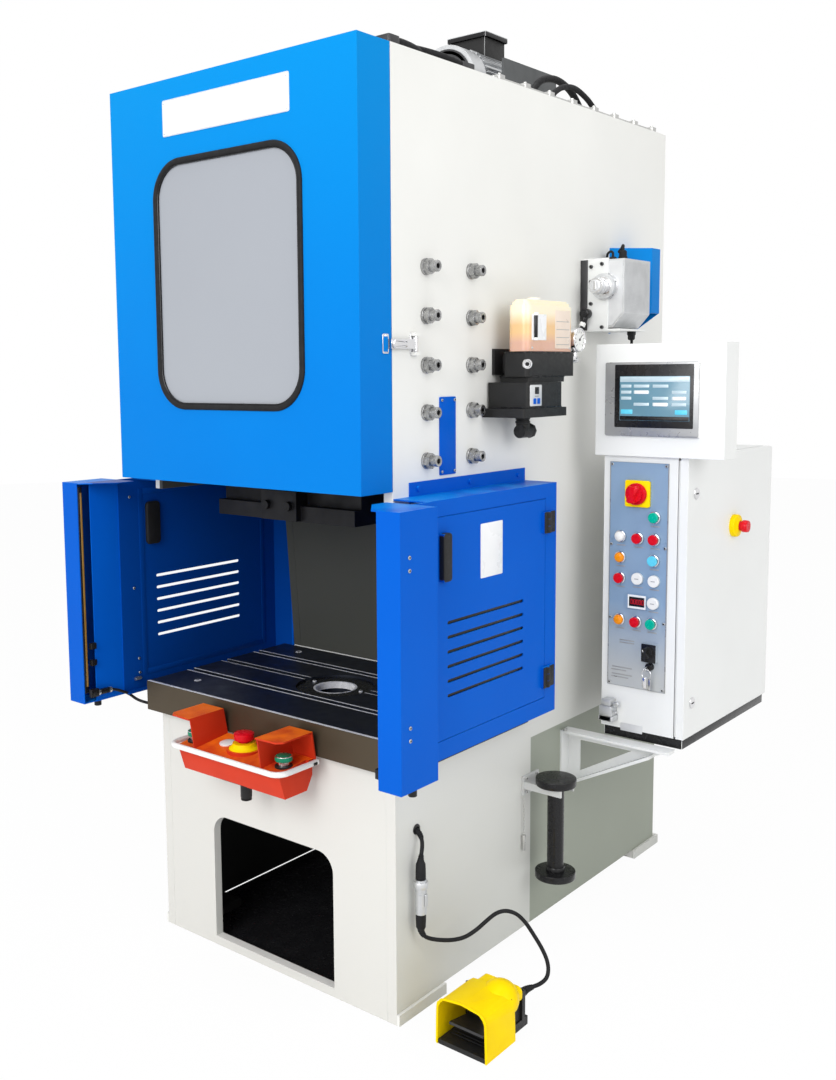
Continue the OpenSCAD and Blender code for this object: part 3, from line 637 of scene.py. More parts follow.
# Painted top light: upward faces of the console are lifted to a brighter orange.
orange_plastic = finish(
    "orange_plastic", (0.60, 0.040, 0.012), (0.50, 0.030, 0.010), 9.0, 0.32, 0.46,
    amount=0.6, peel=0.35, grain=650, dust_and_top_light=2.0, dust_and_top_light_colour=(0.95, 0.175, 0.010), specular=0.12,
)
yellow_plastic = finish(
    "yellow_plastic", (0.93, 0.68, 0.001), (0.84, 0.56, 0.001), 14.0, 0.28, 0.42,
    amount=0.6, peel=0.35, grain=700, specular=0.06,
)
red_plastic = finish(
    "red_plastic", (0.66, 0.005, 0.014), (0.52, 0.003, 0.010), 40.0, 0.22, 0.34,
    peel=0.15, grain=1500, specular=0.2,
)
green_plastic = finish(
    "green_plastic", (0.001, 0.23, 0.12), (0.001, 0.16, 0.08), 40.0, 0.2, 0.32,
    **GLOSSY
)
teal_plastic = finish(
    "teal_plastic", (0.0, 0.42, 0.29), (0.0, 0.33, 0.22), 40.0, 0.2, 0.32,
    **GLOSSY
)
cyan_plastic = finish(
    "cyan_plastic", (0.12, 0.60, 0.80), (0.08, 0.50, 0.70), 40.0, 0.2, 0.32,
    **GLOSSY
)
lamp_orange = finish(
    "lamp_orange", (0.90, 0.30, 0.004), (0.80, 0.22, 0.004), 40.0, 0.15, 0.3,
    **GLOSSY
)
white_plastic = finish(
    "white_plastic", (0.82, 0.82, 0.80), (0.72, 0.72, 0.70), 30.0, 0.25, 0.4,
    peel=0.15, grain=1500,
)
plate_white = finish(
    "plate_white", (0.84, 0.85, 0.86), (0.74, 0.75, 0.77), 7.0, 0.22, 0.34,
    peel=0.1, grain=800, coat=0.2,
)
plate_silver = finish(
    "plate_silver", (0.68, 0.69, 0.70), (0.55, 0.56, 0.58), 30.0, 0.3, 0.45,
    metal=0.35, brushed=(1.5, 50.0, 50.0),
)
pane_grey = finish(
    "pane_grey", (0.33, 0.35, 0.385), (0.29, 0.305, 0.34), 0.9, 0.16, 0.24,
    amount=0.6, peel=0.05, grain=60, specular=0.3,
)
screen_back = finish(
    "screen_back", (0.13, 0.27, 0.35), (0.10, 0.22, 0.30), 12.0, 0.12, 0.2,
    coat=0.2,
)
screen_pale = finish(
    "screen_pale", (0.50, 0.62, 0.68), (0.42, 0.54, 0.60), 30.0, 0.12, 0.2,
    coat=0.2,
)
bezel_grey = finish(
    "bezel_grey", (0.36, 0.365, 0.37), (0.30, 0.305, 0.31), 20.0, 0.25, 0.38,
    metal=0.4, peel=0.1,
)
belt_rubber = finish(
    "belt_rubber", (0.03, 0.03, 0.03), (0.06, 0.058, 0.055), 30.0, 0.55, 0.8,
    amount=0.6, peel=0.5, grain=1300,
)
curtain_strip = finish(
    "curtain_strip", (0.32, 0.17, 0.03), (0.22, 0.11, 0.02), 30.0, 0.25, 0.4,
    amount=0.6, peel=0.1,
)
base_grey = finish(
    "base_grey", (0.06, 0.065, 0.067), (0.035, 0.038, 0.04), 14.0, 0.35, 0.5,
    peel=0.3, grain=700,
)

# %% Where painted light and shade change a colour
# These colours are painted light and shade. Inside the base hardly any light arrives,
# and the throat behind the guards gets a painted shade. The side plates get a painted
# shade that makes them greyer towards the floor, deepest at the lower rear of the
# right one, and the base's front a milder painted shade. The bolster's front is
# brownish with a painted reflection of the console. The panel is lighter below with
# a painted reflection, the cover is lighter above with a painted top light, and the
# left guard's inner side and the opening round the console's gland lie in painted dark.
THROAT_SHADE, UNLIT = (0.070, 0.072, 0.062), (0.012, 0.012, 0.012)
# Painted shade on the side plates, growing towards the floor.
shade_where(frame_paint, (0.22, 0.24, 0.20), "low_side", Low=1.3, High=0.0, Amount=0.38)
# Painted shade in the throat behind the guards.
shade_room(frame_paint, THROAT_SHADE, (-417, 389), (-1, 560), (709.2, 1250))
shade_room(frame_paint, THROAT_SHADE, (-400, 389), (-1, 560), (1250, 1420))
# Painted shade on the base's front face.
shade_room(frame_paint, (0.66, 0.655, 0.62), (-417, 417), (-1, 0.5), (-5, 640))
# Painted shade on the lower rear of the right side plate.
shade_room(frame_paint, (0.30, 0.325, 0.27), (415.5, 417), (598, 1400), (-5, 560))
shade_room(frame_paint, UNLIT, (-389, 389), (25.2, 1331), (-5, 567.3))
# Painted reflection of the orange console, which turns the bolster's front brown.
shade_room(bolster_steel, (0.080, 0.062, 0.040), (-460, 460), (-30, -24.6), (600, 708.8))
shade_room(blue_side, (0.001, 0.052, 0.30), (-514, -440), (-160, 800), (600, 1400))
shade_room(orange_plastic, UNLIT, (-40, 50), (-140, -30), (380, 546))
# Painted reflection that lightens the panel towards its lower edge.
shade_where(panel_paint, (0.46, 0.48, 0.49), "level", Low=0.93, High=0.73)
# Painted top light that lightens the cover upward.
shade_where(blue_paint, (0.001, 0.245, 0.63), "level", Low=1.5, High=2.35)
print(len(bpy.data.materials), "materials")


# %% [markdown]
# The lubricator's tank is clear amber plastic with grease in its lower part, so its
# colour changes with height, and it lets a little light through. The height mask
# does that without any picture.

# %% Amber tank
amber = finish(
    "amber_tank", (0.70, 0.42, 0.31), (0.58, 0.33, 0.23), 16.0, 0.18, 0.28,
    amount=0.6, peel=0.15, grain=160, coat=0.2,
)
shade_where(amber, (0.80, 0.52, 0.25), "level", Low=1.630, High=1.655)
shade_where(amber, (0.90, 0.82, 0.62), "level", Low=1.672, High=1.705)
see_in = amber.node_tree.nodes["Principled BSDF"].inputs
see_in["Subsurface Weight"].default_value = 0.25
see_in["Subsurface Radius"].default_value = (0.02, 0.01, 0.004)
print("amber tank ready")


# %% [markdown]
# ## The rigid solids
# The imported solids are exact, but their edges are razor sharp and no real edge is.
# Each visible solid is copied, its doubles are merged and a small bevel catches the
# light along its edges: under a millimetre on folded sheet, more on castings.

# %% Dress the solids
DRESSED = {
    "frame_side_right": (frame_paint, 1.5), "frame_side_left": (frame_paint, 1.5),
    "frame_crossplates": (frame_paint, 1.2), "frame_rear_plate": (frame_paint, 1.2),
    "foot_pads": (frame_paint, 2.0), "bolster": (bolster_steel, 1.5),
    "crank_housing": (cast_iron, 1.0), "slide_gibs": (ground_steel, 1.0),
    "gib_bolts": (nut_steel, 0.7), "crankshaft": (ground_steel, 1.2),
    "eccentric_bush": (bronze, 1.0), "connecting_rod": (cast_iron, 2.0), "ram": (black_iron, 2.0),
    "flywheel": (cast_iron, 1.5), "motor": (aluminium, 0.6), "motor_pulley": (dark_steel, 1.0),
    "motor_base": (base_grey, 1.0), "front_cover": (blue_paint, 1.2),
    "window_pane": (pane_grey, 0.5), "latch_lever": (chrome, 0.5),
    "side_guard_right": (blue_side, 0.7),
    "side_guard_left": (blue_side, 0.7), "guard_door_right": (blue_side, 0.6),
    "guard_door_left": (blue_side, 0.6), "light_posts": (blue_side, 0.8),
    "console_body": (orange_plastic, 1.4), "console_rail": (white_plastic, 0.0),
    "start_button_left": (chrome, 1.0), "start_button_right": (chrome, 1.0),
    "console_stop_button": (red_plastic, 1.5), "lubricator_tank": (amber, 2.0),
    "lubricator_base": (black_plastic, 1.2), "cam_switch_bracket": (white_paint, 0.8),
    "cam_switch_housing": (aluminium, 1.2), "cam_switch_guard": (blue_paint, 0.7),
    "cam_switch_shaft": (chrome, 0.8), "cabinet_shell": (white_paint, 0.7),
    "cabinet_door": (white_paint, 0.7), "cabinet_brackets": (white_paint, 0.8),
    "control_panel": (panel_paint, 0.5), "display_housing": (white_paint, 1.2),
    "main_switch_knob": (red_plastic, 1.2), "mode_selector_knob": (black_plastic, 0.8),
    "start_motor_button": (teal_plastic, 0.6), "stop_motor_button": (red_plastic, 0.6),
    "reset_button": (red_plastic, 0.6), "fault_button": (cyan_plastic, 0.6),
    "clutch_button": (red_plastic, 0.6), "slide_up_button": (red_plastic, 0.6),
    "slide_down_button": (teal_plastic, 0.6), "door_stop_button": (red_plastic, 1.5),
    "door_lock_upper": (chrome, 0.4), "door_lock_lower": (chrome, 0.4),
    "safety_block": (gloss_black, 1.5), "safety_block_holder": (grey_paint, 0.6),
    "foot_switch_base": (black_plastic, 1.0), "foot_switch_hood": (yellow_plastic, 1.2),
    "foot_pedal": (dark_steel, 0.8), "cord_coupling": (aluminium, 0.6),
}
dressed = {name: softened(name, material, width) for name, (material, width) in DRESSED.items()}
print(len(dressed), "solids dressed; left:", sorted(set(nodes) - set(dressed)))


# %% [markdown]
# ## The foot switch cord
# The cord is a rubber lead of 10 mm. A short length comes out of the side plate
# and hangs into a metal coupling, and a longer one goes from the coupling to the
# foot switch. Its route is the one that its solid follows, point by point, so that
# what is seen is what can be touched, and tapered sleeves guard its ends.

# %% Cord and its sleeves
OUTLET_ROUTE = [
    (394, 80, 466), (404, 80, 466), (417, 80, 463.5), (429, 78, 456), (437.5, 74, 445),
    (442, 69, 432), (443, 65, 419), (443, 62.5, 405.5), (443, 61.5, 392),
]
FLOOR_ROUTE = [
    (443, 61.5, 236), (443, 62, 227.5), (444.5, 65.5, 217), (448.5, 73.5, 206.5), (457, 89, 197.5),
    (471, 114, 189), (486, 142, 184), (501, 167, 187), (516, 191, 200), (531, 212, 219),
    (546, 231, 235), (563, 249, 240), (583, 265, 232), (602, 277, 211), (622, 285, 181),
    (642, 289, 152), (657, 288, 127), (665, 281, 107), (667, 268, 93), (662, 249, 86),
    (653.5, 232, 83), (648, 219, 82), (646, 209, 82), (646, 200, 82),
]
COUPLING_X, COUPLING_Y, COUPLING_TOP = 443, 61.5, 360
CORD, RIB_OUT, RIB_IN = 10.0, 0.7, -0.2


def walked(line):
    """How far each point of a line is from its first one, along the line."""
    return np.concatenate([[0], np.cumsum(np.linalg.norm(np.diff(line, axis=0), axis=1))])


def at_distance(line, distance):
    """The points of a line that are at the given distances along it."""
    return np.stack([np.interp(distance, walked(line), line[:, k]) for k in range(3)], 1)


def sleeve(route, long, wide, narrow, ribs=5):
    """A hose along the first stretch of a route whose radius falls from wide to
    narrow, while a saw of small steps makes the ribs."""
    at = np.linspace(0, long, 6 * ribs + 1)
    saw = np.where(np.arange(len(at)) % 6 < 3, RIB_OUT, RIB_IN)
    radii = np.interp(at, [0, long], [wide, narrow]) + saw
    return hose(at_distance(smooth_path(route, 8), at), 2 * wide, 18, 0, radii)


outlet_sleeve = piece("outlet_sleeve", [sleeve(OUTLET_ROUTE[2:], 24, 7.6, 5.6)], rubber)
upper_sleeve = piece("upper_sleeve", [sleeve(OUTLET_ROUTE[::-1], 22, 8.2, 5.9)], rubber)
lower_sleeve = piece("lower_sleeve", [sleeve(FLOOR_ROUTE, 26, 8.2, 5.9)], rubber)
switch_sleeve = piece("switch_sleeve", [sleeve(FLOOR_ROUTE[::-1], 30, 9.5, 5.9)], rubber)
for label, route, far_end, carried in (
    ("upper", OUTLET_ROUTE + [(COUPLING_X, COUPLING_Y, COUPLING_TOP)], "connector",
     [outlet_sleeve, upper_sleeve, dressed["cord_coupling"]]),
    ("lower", FLOOR_ROUTE, "object", [lower_sleeve, switch_sleeve]),
):
    lead = piece("foot_cord_" + label, [hose(route, CORD, 12, 4)], rubber)
    line = metres(smooth_path(route, 4))
    length = float(walked(line)[-1])
    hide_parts("foot_cord")
    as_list(carried)
    print("cord", label, round(length, 3), "m")


# %% [markdown]
# ## Front cover
# The cover is a hinged sheet box with a round-cornered window. A black rubber seal
# grips the edge of the opening, a bare plate sits above it, and a small steel
# latch holds its right edge. The seal is a D-shaped profile carried round the
# window's outline, which keeps its corners even.

# %% Window seal
COVER_FACE = -113.0
WINDOW_MIDDLE = (0, COVER_FACE, 1779.5)
SEAL_SECTION = [(-7.6, -2.6), (-7.6, 2.0), (-6.2, 4.2), (-3.2, 5.4), (0, 5.8), (3.2, 5.4),
                (5.8, 4.2), (7.0, 2.0), (7.0, 0.1)]
LIP_SECTION = [(-1.6, -2.9), (-1.6, 1.6), (0, 2.6), (1.6, 1.6), (1.6, -2.9)]


def upright(flat, middle):
    """A flat outline stood up in X and Z round a middle."""
    x, y, z = middle
    return np.stack([flat[:, 0] + x, np.full(len(flat), y), flat[:, 1] + z], 1)


seal = trim(upright(rounded_outline(494, 600, 91, 14), WINDOW_MIDDLE), FRONT, SEAL_SECTION)
piece("window_seal", [seal], rubber, "front_cover", angle=50)
lip = trim(upright(rounded_outline(477, 583, 82.5, 14), WINDOW_MIDDLE), FRONT, LIP_SECTION)
piece("window_lip", [lip], gloss_black, "front_cover", angle=50)

# %% Bare plate with its rim and rivets
PLATE_MIDDLE, PLATE_RISE = (4, COVER_FACE, 2184.5), 1.5


def rivets(spots, direction, radius=3.0, rise=1.8, sides=14):
    """Low domes on the given spots."""
    shares = [(1, 0), (0.96, 0.35), (0.72, 0.75), (0.3, 1)]
    dome = [(radius * r, rise * h) for r, h in shares]
    return [turned(dome, s, direction, sides) for s in spots]


piece("cover_plate", [plate(PLATE_MIDDLE, FRONT, 430, 87, 1.6, 5, 0.5)], plate_white, "front_cover")
rim = upright(rounded_outline(426, 83, 4, 5), (4, COVER_FACE - PLATE_RISE, 2184.5))
rim = trim(rim, FRONT, [(-1.6, -0.2), (-1.2, 0.5), (1.2, 0.5), (1.6, -0.2)])
piece("cover_plate_rim", [rim], plate_silver, "front_cover", angle=60)
spots = [(x, COVER_FACE - PLATE_RISE, z) for x in (-203, 211) for z in (2149, 2220)]
piece("cover_plate_rivets", rivets(spots, FRONT), plate_silver, "front_cover")


# %% Thin bars and cap screws
def strip(p0, p1, normal, width, thick, edge=0.3):
    """A thin flat bar between two points."""
    p0, p1 = np.array(p0, float), np.array(p1, float)
    run = p1 - p0
    long = np.linalg.norm(run)
    corner = min(width, thick) * 0.4
    return plate((p0 + p1) / 2, normal, width, long, thick, corner, edge, up=run / long)


def socket_screw(spot, direction, d=10.0, h=6.0):
    """Cap screw: a round head with a dark hexagon socket in its face."""
    head = [(d / 2 - 0.2, 0), (d / 2, 0.4), (d / 2, h - 0.9), (d / 2 - 0.8, h)]
    head += [(d * 0.30, h), (d * 0.29, h - 0.2)]
    socket = [(d * 0.28, h - 0.6), (d * 0.28, h + 0.05)]
    return turned(head, spot, direction, 20), turned(socket, spot, direction, 6)


def screws(name, spots, direction, body="frame", d=10.0, h=6.0, material=None):
    """Two pieces: the heads of cap screws, and their dark sockets."""
    heads, sockets = zip(*[socket_screw(s, direction, d, h) for s in spots])
    piece(name, list(heads), material or zinc, body)
    piece(name + "_sockets", list(sockets), gloss_black, body)


# %% Latch
LATCH_X = 418.2  # face of the latch's two plates
shapes = [block(SIDE_X, LATCH_X, 64, 92, 1598, 1650, 3, 0.6, RIGHT)]
shapes.append(rod(3.6, 50, (425, 76, 1599), UP, 1.0, 16))
shapes += rivets([(LATCH_X, 87, z) for z in (1605, 1624, 1643)], RIGHT, 3.2, 2.0)
piece("latch_base", shapes, chrome)
shapes = [block(SIDE_X, LATCH_X, -36, -14, 1602, 1646, 3, 0.6, RIGHT)]
shapes += rivets([(LATCH_X, -25, z) for z in (1607, 1641)], RIGHT, 3.2, 2.0)
piece("latch_keeper", shapes, chrome, "front_cover")
wires = [
    ([(427, 40, 1619), (429.6, 30, 1618), (430.4, 10, 1616.6), (430, -8, 1616)], 5),
    ([(427, 40, 1629), (429.6, 30, 1630), (430.4, 10, 1631.4), (430, -8, 1632)], 5),
    ([(430, -8, 1616), (430.4, -11, 1624), (430, -8, 1632)], 6),
]
piece("latch_handle", [hose(path, 5, 10, per) for path, per in wires], chrome, "latch_lever")

# %% Hinges on the left edge
knuckles = [z + 1 + 23.4 * k for z in (1380, 1790, 2170) for k in range(3)]
knuckles = [rod(8.0, 22, (-425, -8, z), UP, 1.2, 20) for z in knuckles]
piece("cover_hinges", knuckles, zinc, "front_cover")


# %% [markdown]
# ## Gib adjusters and the small side plate
# Ten adjusters on each side press the slide's guides. Each is a washer, a locknut
# and a screw with a hexagon socket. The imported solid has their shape, and a second
# washer, a socket and a turned collar give each of them depth.

# %% Washers and sockets
WASHER = [(12, 0), (19.2, 0), (19.5, 0.6), (19.5, 4.6), (18.6, 5.4), (12, 5.4)]
GIB_COLLAR = [
    (7.4, -0.3), (7.4, 0.5), (12.4, 0.5), (13.4, -0.6), (13.4, -7), (12.8, -7), (12.8, -0.3)
]
gib_spots = [
    (side, y, z)
    for side in SIDES
    for y in (125, 308)
    for z in (1353, 1466, 1576, 1690, 1802)
]


def on_gibs(profile, x, sides, closed=True):
    """The same lathe shape on every adjuster, at a distance from the middle."""
    return [
        turned(profile, (s * x, y, z), (s, 0, 0), sides, closed=closed) for s, y, z in gib_spots
    ]


piece("gib_washers", on_gibs(WASHER, SIDE_X, 28), nut_steel)
piece("gib_sockets", on_gibs([(6.6, 0), (6.6, 0.6)], 443.2, 6, closed=False), gloss_black)
piece("gib_collars", on_gibs(GIB_COLLAR, 453, 28), nut_steel)

# %% Blue side plate
piece("side_plate_blue", [block(SIDE_X, 419, 177, 242, 1314, 1501, 3, 0.7, RIGHT)], blue_side)
spots = [(419, y, z) for y in (184, 235) for z in (1322, 1493)]
screws("side_plate_screws", spots, RIGHT, d=7, h=3)


# %% [markdown]
# ## Top of the frame
# The motor stands on the top deck and drives the flywheel below through three
# V-belts. A belt is a trapezium carried along the loop of two circles and their two
# outer tangents. Hoses and cables cross the deck, and a rail runs along its edge.

# %% Belts
BELT_GROOVES, CRANK_Z, MOTOR_Z = (1212, 1240, 1268), 1960.0, 2400.0
BELT_SECTION = [(-3.6, -6.0), (4.4, -8.5), (4.4, 8.5), (-3.6, 6.0)]


def belt_loop(r_low, r_high, steps=48):
    """The line round two circles on one upright: the low circle's lower arc, the
    high circle's upper arc, and the tangents that join them. The tangent leaves
    each circle at the angle whose sine is the difference of radii over the
    distance of the centres."""
    lean = math.asin((r_low - r_high) / (MOTOR_Z - CRANK_Z))
    low = np.linspace(math.pi - lean, 2 * math.pi + lean, steps)
    high = np.linspace(lean, math.pi - lean, steps)
    low_arc = np.stack([r_low * np.cos(low), CRANK_Z + r_low * np.sin(low)], 1)
    high_arc = np.stack([r_high * np.cos(high), MOTOR_Z + r_high * np.sin(high)], 1)
    t = np.linspace(0, 1, 14)[1:-1, None]
    right = low_arc[-1] * (1 - t) + high_arc[0] * t
    left = high_arc[-1] * (1 - t) + low_arc[0] * t
    return np.concatenate([low_arc, right, high_arc, left])


loop = belt_loop(284, 60)
belts = []
for y in BELT_GROOVES:
    line = np.stack([loop[:, 0], np.full(len(loop), y), loop[:, 1]], 1)
    belts.append(trim(line, REAR, BELT_SECTION))
piece("belts", belts, belt_rubber, angle=40)

# %% Motor details
piece("motor_box_lid", [block(-71, 71, 884, 1006, 2540, 2553, 8, 2.0)], gloss_black)
piece("motor_box", [block(-64, 64, 890, 1000, 2478, 2540, 8, 2.0)], black_plastic)
screws("motor_box_screws", [(x, y, 2551) for x in (-62, 62) for y in (893, 997)], UP, d=7, h=3)
fins = []
for k in range(36):
    a = math.radians(10 * k + 5)
    if abs(math.cos(a)) < 0.35 and math.sin(a) > 0:
        continue  # the terminal box stands here
    out = np.array([math.cos(a), 0, math.sin(a)])
    foot = np.array([0, 976, MOTOR_Z]) + 92 * out
    fins.append(plate(foot, out, 3.0, 252, 13, 1.2, 0.5, up=REAR, steps=3))
piece("motor_fins", fins, aluminium)
cowl = [turned([(r, 0), (r, 2.0), (r + 5, 2.0), (r + 5, 0)], (0, 779.5, MOTOR_Z), FRONT, 40)
        for r in range(30, 100, 14)]
piece("motor_cowl_rings", cowl, dark_steel)

# %% Hoses and cables on the deck
DECK_Z = 2278
DECK_HOSES = [
    ([(300, 750, 2290), (300, 770, 2320), (298, 820, 2362), (296, 900, 2380), (296, 980, 2366),
      (298, 1030, 2330), (300, 1055, 2292)], 20),
    ([(340, 790, 2290), (340, 812, 2316), (338, 870, 2346), (336, 940, 2356), (336, 1010, 2340),
      (338, 1060, 2312), (340, 1080, 2290)], 16),
    ([(372, 40, 2296), (372, 90, 2300), (368, 150, 2298), (352, 220, 2292), (330, 300, 2290)], 22),
    ([(340, 36, 2290), (344, 90, 2300), (356, 160, 2306), (384, 230, 2298), (392, 320, 2290)], 16),
]
piece("deck_hoses", [hose(path, d, 12, 6) for path, d in DECK_HOSES], rubber)
piece("deck_blocks", [
    block(318, 398, 20, 60, DECK_Z, 2304, 6, 2.0),
    block(280, 320, 736, 764, DECK_Z, 2300, 4, 1.5),
    block(280, 360, 1050, 1090, DECK_Z, 2302, 4, 1.5),
    block(322, 400, 300, 350, DECK_Z, 2298, 4, 1.5),
], dark_steel)
rail_feet = range(440, 1290, 120)
rail = [block(398, 408, 420, 1300, DECK_Z, 2286, 2, 0.8, REAR)]
rail += [block(392, 412, y, y + 26, DECK_Z, 2292, 3, 1.0) for y in rail_feet]
piece("deck_rail", rail, zinc)
screws("deck_rail_screws", [(402, y + 13, 2292) for y in rail_feet], UP, d=9, h=5)

# %% Painted shade inside the base: a dark sheet on the ground and low strips on the inner walls
ground = [block(-319.5, 319.5, 25.4, 1330.8, 2, 6, 2, 0.5)]
ground.append(block(-387.4, 387.4, 194, 1216, 1.4, 5.4, 2, 0.5))
piece("base_shade_sheet", ground + mirrored(384, 387.6, 194, 1216, 5, 25.4, 1, 0.3), gloss_black)


# %% [markdown]
# ## Bolster
# The bolster is a thick ground plate with three T-slots. Its top is dark with oil,
# the slot edges and the front edge carry painted highlights, the outer slots hold a
# painted shade, and a bright ring lies in the drop hole's recess. Thin strips along
# the slots and turned rings give that.

# %% Slot edges and rings
BOLSTER_TOP, BOLSTER_END = 708.9, 449
OUTER_SLOTS, MIDDLE_SLOT, SLOT_EDGE = (137, 404), 270, 12.4
RECESS = (0, 262, 703)
DROP_RING = [(53.6, -17), (55.2, -17), (55.2, 0.3), (60, 0.6), (60, 1.2), (55.2, 1.2), (53.6, 0.6)]


def on_bolster(x0, x1, y, wide, thick):
    """A bright strip across the bolster's top: a painted highlight."""
    return strip((x0, y, BOLSTER_TOP), (x1, y, BOLSTER_TOP), UP, wide, thick, 0.1)


# Bright steel for the screws and the drop ring, and also the colour of the painted highlights.
bright = finish(
    "bright_steel_and_highlight", (0.88, 0.88, 0.90), (0.55, 0.55, 0.57), 30.0, 0.2, 0.35,
    metal=0.15, brushed=(2.0, 60.0, 60.0),
)
# Painted highlights along the slot edges and along the bolster's front edge.
outer = [y + s * SLOT_EDGE for y in OUTER_SLOTS for s in SIDES]
inner = [MIDDLE_SLOT + s * SLOT_EDGE for s in SIDES]
edges = [on_bolster(-BOLSTER_END, BOLSTER_END, y, 4.6, 0.45) for y in outer]
edges += [on_bolster(s * BOLSTER_END, s * 110, y, 2.6, 0.35) for s in SIDES for y in inner]
edges += [on_bolster(-BOLSTER_END, BOLSTER_END, -19.5, 9.0, 0.45)]
piece("slot_and_edge_highlights", edges, bright)
# Painted shade: black strips at the bottom of the outer T-slots.
lining = [strip((-449.4, y, 681.6), (449.4, y, 681.6), UP, 21, 0.6, 0.1) for y in OUTER_SLOTS]
piece("slot_shade_strips", lining, gloss_black)
piece("drop_ring", [turned(DROP_RING, RECESS, UP, 72, closed=True)], bright)
recess = turned([(60.2, 0), (107.4, 0), (107.4, 0.5), (60.2, 0.5)], RECESS, UP, 72, closed=True)
piece("recess_floor", [recess], gloss_black)
spots = [(x, y, 694) for x in (-340, 340) for y in (66, 478)]
screws("bolster_screws", spots, UP, d=20, h=15.4, material=bright)
screws("ring_screws", [(x, MIDDLE_SLOT, 703) for x in (-84, 84)], UP, d=11, h=4, material=bright)


# %% [markdown]
# ## Two-hand console
# Each start button hides under a hood, so that both hands are needed. Between them
# stand the emergency stop on its bell-shaped yellow base and a pale lamp. The
# buttons get a raised collar and a rounded cap, and the stop a mushroom head. The
# stop's base is a ring, so that the stem can sink into it.

# %% Buttons and stop
STOP_BASE = [(38.4, 0), (38.8, 1), (38.0, 2.6), (33.4, 5.6), (30.2, 9), (28.8, 15.0), (14.2, 15.6),
             (14.2, 0)]
STOP_HEAD = [(13.4, 0), (13.4, 16.6), (18, 17.0), (25.0, 17.6), (25.4, 19), (25.4, 33.6),
             (22.6, 35.2), (12, 36.6), (3, 37.0)]
START_CAP = [(21.2, 0), (21.8, 0.8), (21.8, 8.6), (20.6, 11.8), (16, 13.4), (4, 14.0)]
START_COLLAR = [(15.4, 0), (22.4, 0), (22.4, 5), (20.8, 6.6), (15.4, 6.6)]
GLAND = [(17.5, 0), (18, 1), (18, 14), (17, 15.4), (14.8, 16), (14.8, 47), (12, 55), (8.4, 58)]
RAIL_Z = 616
piece("stop_base", [turned(STOP_BASE, (0, -86, 624.9), UP, 56, closed=True)], yellow_plastic)
mushroom = turned(STOP_HEAD, (0, -86, 630), UP, 48)
piece("stop_mushroom", [mushroom], red_plastic, "console_stop_button")
for side, body in ((-157, "start_button_left"), (157, "start_button_right")):
    cap = turned(START_CAP, (side, -106, 632.7), UP, 44)
    piece(body + "_cap", [cap], green_plastic, body)
    collar = turned(START_COLLAR, (side, -106, 614.6), UP, 40, closed=True)
    piece(body + "_collar", [collar], black_plastic)
lens = [(20.0, -1.5), (20.4, 0.4), (20.4, 2.8), (18.8, 3.8), (4, 4.2)]
piece("console_lamp", [turned(lens, (-68, -80, 620.8), (0, -0.1034, 1), 36)], white_plastic)
nut = turned([(20.4, 0), (20.4, 9), (18.6, 10.6)], (4, -86, 546), DOWN, 6)
piece("console_gland", [turned(GLAND, (4, -86, 547.5), DOWN, 24), nut], black_plastic)
bores = [turned([(5.6, 0), (5.6, 0.6)], (s * 196, -29.3, RAIL_Z), REAR, 20) for s in SIDES]
piece("rail_bores", bores, gloss_black)
END = [(4, 0), (4, 2.2), (3, 2.8)]
ends = [turned(END, (s * 202.4, y, RAIL_Z), (s, 0, 0), 6) for s in SIDES for y in (-46, -40)]
piece("rail_screws", ends, gloss_black)


# %% [markdown]
# ## Guards and light curtain
# Folded sheet guards close both sides of the die space, each with a slotted door on
# black hinges. The posts at the front carry the light curtain: two slim black bars
# that face each other, each with a brown window strip behind which the beams run.

# %% Light curtain
CURTAIN_X = -506
CURTAIN_CABLE = [(CURTAIN_X, -106, 693), (CURTAIN_X, -80, 684), (-502, -50, 668), (-490, -28, 648),
                 (-462, -14, 640), (-436, 0, 640), (-420, 6, 640)]
piece("curtain_bars", mirrored(519, 549, -183.6, -169, 694, 1262, 3, 0.8), gloss_black)
piece("curtain_windows", mirrored(518.0, 520, -177, -171.5, 712, 1246, 0.8, 0.3), curtain_strip)
brackets = [b for z in (770, 816) for b in mirrored(506, 518.2, -166, -148.5, z, z + 16)]
piece("curtain_brackets", brackets, gloss_black)
feet = mirrored(500, 512, -176, -150, 684, 706) + mirrored(502, 511, -146, -112, 686, 700)
piece("curtain_feet", feet, gloss_black)
nuts = [turned([(8, 0), (8, 7), (6.4, 8)], (CURTAIN_X, y, 693), REAR, 6) for y in (-151, -113)]
piece("curtain_nuts", nuts + [rod(5, 22, (CURTAIN_X, -22, 703), REAR, 1.2, 16)], zinc)
piece("curtain_cable", [hose(CURTAIN_CABLE, 8, 10, 6)], rubber)
spots = [(-512.4, y, z) for y, z in ((-13, 703), (0, 758), (1, 717), (-17, 1221), (-10, 962))]
screws("guard_screws", spots, RIGHT, d=8, h=2.6)
screws("post_screws", [(581.8, -156, z) for z in (780, 808, 1147, 1175)], RIGHT, d=9, h=2.6)
knob = [(9, 0), (10, 1), (10, 14), (7, 17), (7, 24)]
piece("post_knobs", [turned(knob, (s * 556, -115, 640.6), UP, 18) for s in SIDES], black_plastic)
outer_plate = plate((515.4, 253, 1136), RIGHT, 94, 131, 1.0, 3, 0.3)
piece("outer_plate", [outer_plate], plate_white, "guard_door_right")

